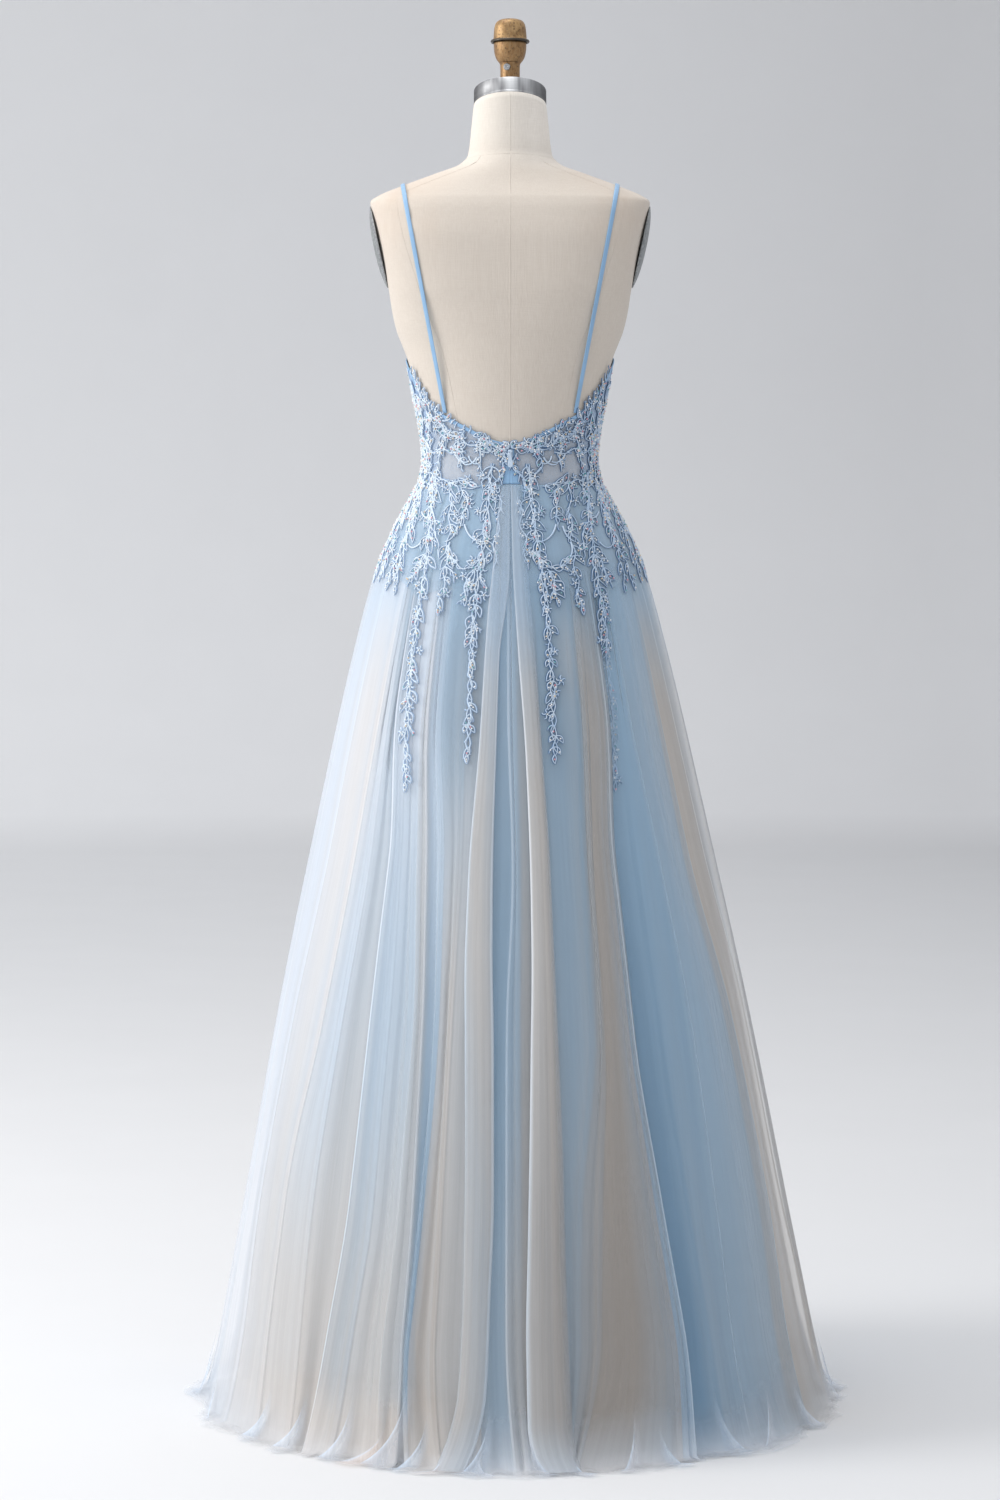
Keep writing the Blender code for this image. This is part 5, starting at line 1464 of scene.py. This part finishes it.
# the sprays that stand for the CAD's: name, angle it is measured from, path in millimetres round and up,
# leaves, leaf length
SPRAYS = (
    ("neckline", 0, ((20, 1201), (80, 1224), (146, 1284)), 14, 0.0135),
    ("midriff", 0, ((56, 1198), (84, 1203), (114, 1203), (158, 1234)), 8, 0.0105),
    ("cascade_inner", 0, ((22, 1186), (30, 1110), (44, 1010), (50, 920), (53, 830)), 27, 0.0155),
    ("hip", 0, ((79, 1166), (78, 1120), (82, 1060), (90, 1010)), 12, 0.017),
    ("cascade_outer", 0, ((112, 1176), (110, 1080), (122, 1000), (134, 900), (138, 795)), 30, 0.0165),
    ("side", 0, ((157, 1198), (150, 1120), (182, 1040)), 12, 0.018),
    ("flank", 0, ((200, 1240), (194, 1150), (234, 1050)), 12, 0.018),
    ("front_hip", 180, ((98, 1210), (112, 1140), (180, 1050)), 12, 0.018),
    ("front_centre", 180, ((34, 1222), (48, 1115), (76, 1000)), 14, 0.018),
)
# more branches on each side of the back: path in millimetres, leaves, leaf length
BRANCHES = (
    (((5, 1201), (7, 1188), (12, 1172), (21, 1158), (32, 1150)), 9, 0.0066),
    (((34, 1208), (38, 1190), (32, 1174)), 3, 0.0085), (((4, 1204), (20, 1208), (36, 1214)), 5, 0.0085),
    (((60, 1226), (66, 1204), (62, 1184)), 4, 0.0095),
    (((86, 1236), (92, 1206), (104, 1180), (104, 1160)), 7, 0.0105),
    (((120, 1250), (124, 1220), (132, 1190), (140, 1160)), 8, 0.0125),
    (((145, 1276), (146, 1240), (155, 1205)), 7, 0.0125),
    (((165, 1290), (168, 1250), (176, 1210), (178, 1165)), 9, 0.0135),
    (((40, 1160), (60, 1161), (85, 1165), (110, 1160), (140, 1162)), 8, 0.0095),
    (((12, 1146), (15, 1120), (18, 1090), (22, 1060)), 8, 0.0075),
    (((62, 1158), (56, 1135), (62, 1112)), 4, 0.0115),
    (((104, 1158), (108, 1130), (98, 1104), (96, 1078)), 6, 0.0115),
    (((134, 1160), (140, 1125), (150, 1095), (160, 1060), (164, 1035)), 8, 0.013),
    (((165, 1165), (172, 1130), (190, 1090), (206, 1050)), 9, 0.014),
    (((184, 1165), (200, 1120), (222, 1070)), 8, 0.014),
    (((26, 1078), (40, 1064), (60, 1058), (74, 1066)), 6, 0.0115),
    (((46, 1056), (54, 1040), (57, 1020)), 3, 0.0125), (((110, 1075), (124, 1060), (136, 1040)), 4, 0.0115),
)
# the same over the front, from the centre front
FRONT_BRANCHES = (
    (((6, 1276), (22, 1246), (44, 1210), (54, 1172)), 9, 0.0125),
    (((36, 1306), (56, 1266), (80, 1228), (98, 1190)), 9, 0.0125),
    (((72, 1356), (90, 1310), (110, 1255), (120, 1200)), 11, 0.013),
    (((50, 1334), (62, 1300), (66, 1262)), 6, 0.012), (((104, 1350), (116, 1310), (128, 1270)), 7, 0.012),
    (((12, 1232), (18, 1200), (12, 1165)), 6, 0.011),
    (((10, 1162), (50, 1164), (96, 1160), (140, 1163)), 10, 0.011),
    (((14, 1150), (14, 1110), (26, 1070), (30, 1030)), 8, 0.0125),
    (((66, 1154), (80, 1112), (100, 1066), (104, 1024)), 9, 0.0125),
    (((140, 1154), (152, 1112), (176, 1066)), 8, 0.013),
)
# small flowers, in millimetres too
FLOWERS = (
    (40, 1128), (74, 1100), (28, 1092), (112, 1112), (148, 1148), (52, 1034), (126, 1006), (104, 1228),
    (78, 1226),
)
ACROSS, UP = np.array([1.0, 0.0]), np.array([0.0, 1.0])
SMALL_LEAF = 0.0105  # leaves shorter than this are one cord
CORD_RADIUS, BEAD_RADIUS = 0.86 * MM, 1.15 * MM
COVER_LEAVES = 290
RIM_STEP = 6.5 * MM  # between the leaves whose tips lie over the neckline
RIM_RADIUS = 0.113
HOOK = np.array([0.0012, 1.2055])
HOOK_LEAVES = ((4, 0.013), (-32, 0.01), (46, 0.011), (80, 0.008))  # bow over the hook: degrees, length
# long bare curls over the open patches: start in millimetres, direction in degrees, length, turn
OPEN_CURLS = (
    ((58, 1112), -100, 0.04, -1.6), ((66, 1110), -80, 0.03, 1.2), ((76, 1090), -60, 0.034, -2.2),
    ((40, 1196), -70, 0.026, 1.8), ((72, 1200), -110, 0.026, -1.6), ((52, 1198), -90, 0.022, -2.0),
    ((120, 1090), -50, 0.03, 1.6), ((128, 1128), -120, 0.028, -1.8),
)
BEAD_KINDS = (
    ("clear", (1.0, 1.0, 1.0)), ("rose", (0.86, 0.34, 0.4)), ("teal", (0.08, 0.42, 0.48)),
    ("amber", (0.88, 0.66, 0.4)),
)


def bead_shape():
    """A small faceted ball."""
    points = [(0, 0, 1), (0, 0, -1)]
    for level, off in ((0.45, 0.0), (-0.45, 0.5)):
        for i in range(6):
            turn = (i + off) * math.pi / 3
            points.append((0.89 * math.cos(turn), 0.89 * math.sin(turn), level))
    faces = []
    for i in range(6):
        j = (i + 1) % 6
        faces += [(0, 2 + i, 2 + j), (1, 8 + j, 8 + i), (2 + i, 8 + i, 2 + j), (2 + j, 8 + i, 8 + j)]
    return np.array(points), np.array(faces)


YOKE_RADIUS = 0.15


def build_yoke():
    """The lace's net over the top of the skirt, cut along its motifs in scallops."""
    sides, rows = 300, 16
    angles = np.linspace(0, 360, sides, endpoint=False)
    from_back = from_centre_back(angles)
    scallop = 0.022 * np.abs(np.sin(np.radians(from_back * 4.1 + 20))) ** 0.7
    bottom = 1.012 + 0.026 * between(from_back, 30, 80) + scallop + 0.004 * waves(angles, 0.0, 91)
    share = np.linspace(0, 1, rows)[:, None]
    heights = WAIST - 0.4 * MM + (bottom - WAIST) * share
    points = skirt_point(angles, heights, -0.15 * MM)
    cover = (0.42 - 0.2 * between(share, 0.7, 1.0)) * np.clip(from_back / 8, 0.15, 1)
    # pale: painted light on the -X side, which the lamps leave in shade
    yoke = piece(
        "lace_yoke", points, grid_faces(rows, sides, True), OUTER,
        uv=(np.radians(angles) * YOKE_RADIUS, heights), cover=cover,
        tint=0, pale=np.clip(0.12 - points[..., 0] * 1.2, 0, 1), deep=0,
    )


def tucked_end(height):
    """How much nearer the cloth the right outer cascade's end lies, under the tulle that folds over it."""
    return 7 * MM * between(height, 0.965, 0.935)


def branch_lace(sign):
    """Branches, flowers, the leaves along the neckline, the bow over the hook and the open curls."""
    lace = Lace(0, sign, 300 + sign)
    for points, leaves, length in BRANCHES:
        jitter = lace.rng.normal(0, 1.2 * MM, (len(points), 2))
        spray(lace, np.array(points) / 1000 + jitter, leaves, length * 1.25)
    for place in FLOWERS:
        centre = np.array(place) / 1000 + lace.rng.normal(0, 1.5 * MM, 2)
        rosette(lace, centre, lace.rng.uniform(5.0, 7.5) * MM, 6)
    for u in np.arange(0.026, 0.168, RIM_STEP):
        root = np.array([u, float(top_edge(math.degrees(u / RIM_RADIUS))) - lace.rng.uniform(4.0, 8.0) * MM])
        leaf(lace, root, spin(UP, lace.rng.normal(0.5, 0.5)), lace.rng.uniform(8.5, 12.5) * MM)
    for lean, length in HOOK_LEAVES:
        leaf(lace, HOOK, spin(ACROSS, math.radians(lean)), length, 0.42)
    for place, aim, length, curl in OPEN_CURLS:
        tendril(lace, np.array(place) / 1000, spin(ACROSS, math.radians(aim)), length, curl, 1.7, 0)
    return lace


def front_lace(sign):
    lace = Lace(180, -sign, 350 + sign)
    for points, leaves, length in FRONT_BRANCHES:
        spray(lace, np.array(points) / 1000, leaves, length * 1.2)
    return lace


def cover_lace(sign):
    """Loose leaves and twigs that fill the sides and the front."""
    lace = Lace(0, sign, 400 + sign)
    for _ in range(COVER_LEAVES):
        angle = lace.rng.uniform(57.0, 179.0)
        z = lace.rng.uniform(1.125, float(top_edge(angle)) - 0.008)
        root = np.array([math.radians(angle) * float(skirt_at(z)[0] if z < WAIST else form_at(z)[0]), z])
        heading = spin(-UP, lace.rng.normal(0.2, 0.9))
        if lace.rng.random() < 0.7:
            leaf(lace, root, heading, lace.rng.uniform(0.012, 0.019))
        else:
            twig(lace, root, heading, lace.rng.uniform(0.014, 0.022))
    return lace


def build_beads(places):
    """Small faceted beads in four colours, all over the lace."""
    shape, faces = bead_shape()
    pick = np.random.default_rng(5).choice(4, len(places), p=(0.62, 0.12, 0.13, 0.13))
    for index, (kind, colour) in enumerate(BEAD_KINDS):
        own = places[pick == index]
        points = own[:, None, :] + shape * BEAD_RADIUS
        all_faces = (faces + np.arange(len(own))[:, None, None] * len(shape)).reshape(-1, 3)
        made = piece(f"beads_{kind}", points, all_faces, bead(f"bead_{kind}", colour), smooth=False)


def build_lace():
    beads, ground = [], []

    def finished(lace, name):
        points, faces = sweep(lace.paths, CORD_RADIUS, 4, 1.1, ridge=True)
        # 1 on each cord's outward ridge, where the thread paints a highlight, and 0 down its sides, where it
        # paints shade
        cords = piece(name, points, faces, THREAD, crown=np.tile((0.0, 1.0, 0.0, 0.0), len(points) // 4))
        beads.extend(lace.beads)
        ground.extend(lace.ground)
        return cords

    for number, (name, middle, points, leaves, length) in enumerate(SPRAYS):
        long = "cascade" in name
        for side, sign in SIDES:
            sink = tucked_end if (name, side) == ("cascade_outer", "right") else None
            lace = Lace(middle, -sign if middle else sign, 100 + 2 * number + (sign > 0), sink)
            spray(lace, np.array(points) / 1000, leaves, length, long, 0.2 if long else 0.1, 0.5)
            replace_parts(finished(lace, f"spray_{name}_{side}"), f"lace_{name}_{side}")
    for side, sign in SIDES:
        finished(branch_lace(sign), f"lace_branches_{side}")
        finished(front_lace(sign), f"lace_front_{side}")
        finished(cover_lace(sign), f"lace_cover_{side}")
    # the net ground under the cords: its dark blue is partly painted shade between them
    points, faces = ribbons(ground)
    backing = piece("lace_ground_and_painted_shade", points, faces, GROUND)
    build_beads(np.array(beads))


# ---- Put together -------------------------------------------------------------------------------------
def dress_cad_nodes():
    """New materials for the hard CAD parts that stay."""
    for name in ("stand_base", "stand_pole"):
        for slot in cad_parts[name].material_slots:
            slot.material = STAND_STEEL


for build in (
    build_stage, build_camera, build_lights, build_torso, build_form_seams, build_neck, build_arm_plates,
    build_straps,
):
    build()
outer, inner, lining = build_skirt()
build_flaps()
hem = build_hem_sweeps()
net_cloth, trim = build_bodice()
build_zip()
build_yoke()
build_lace()
dress_cad_nodes()
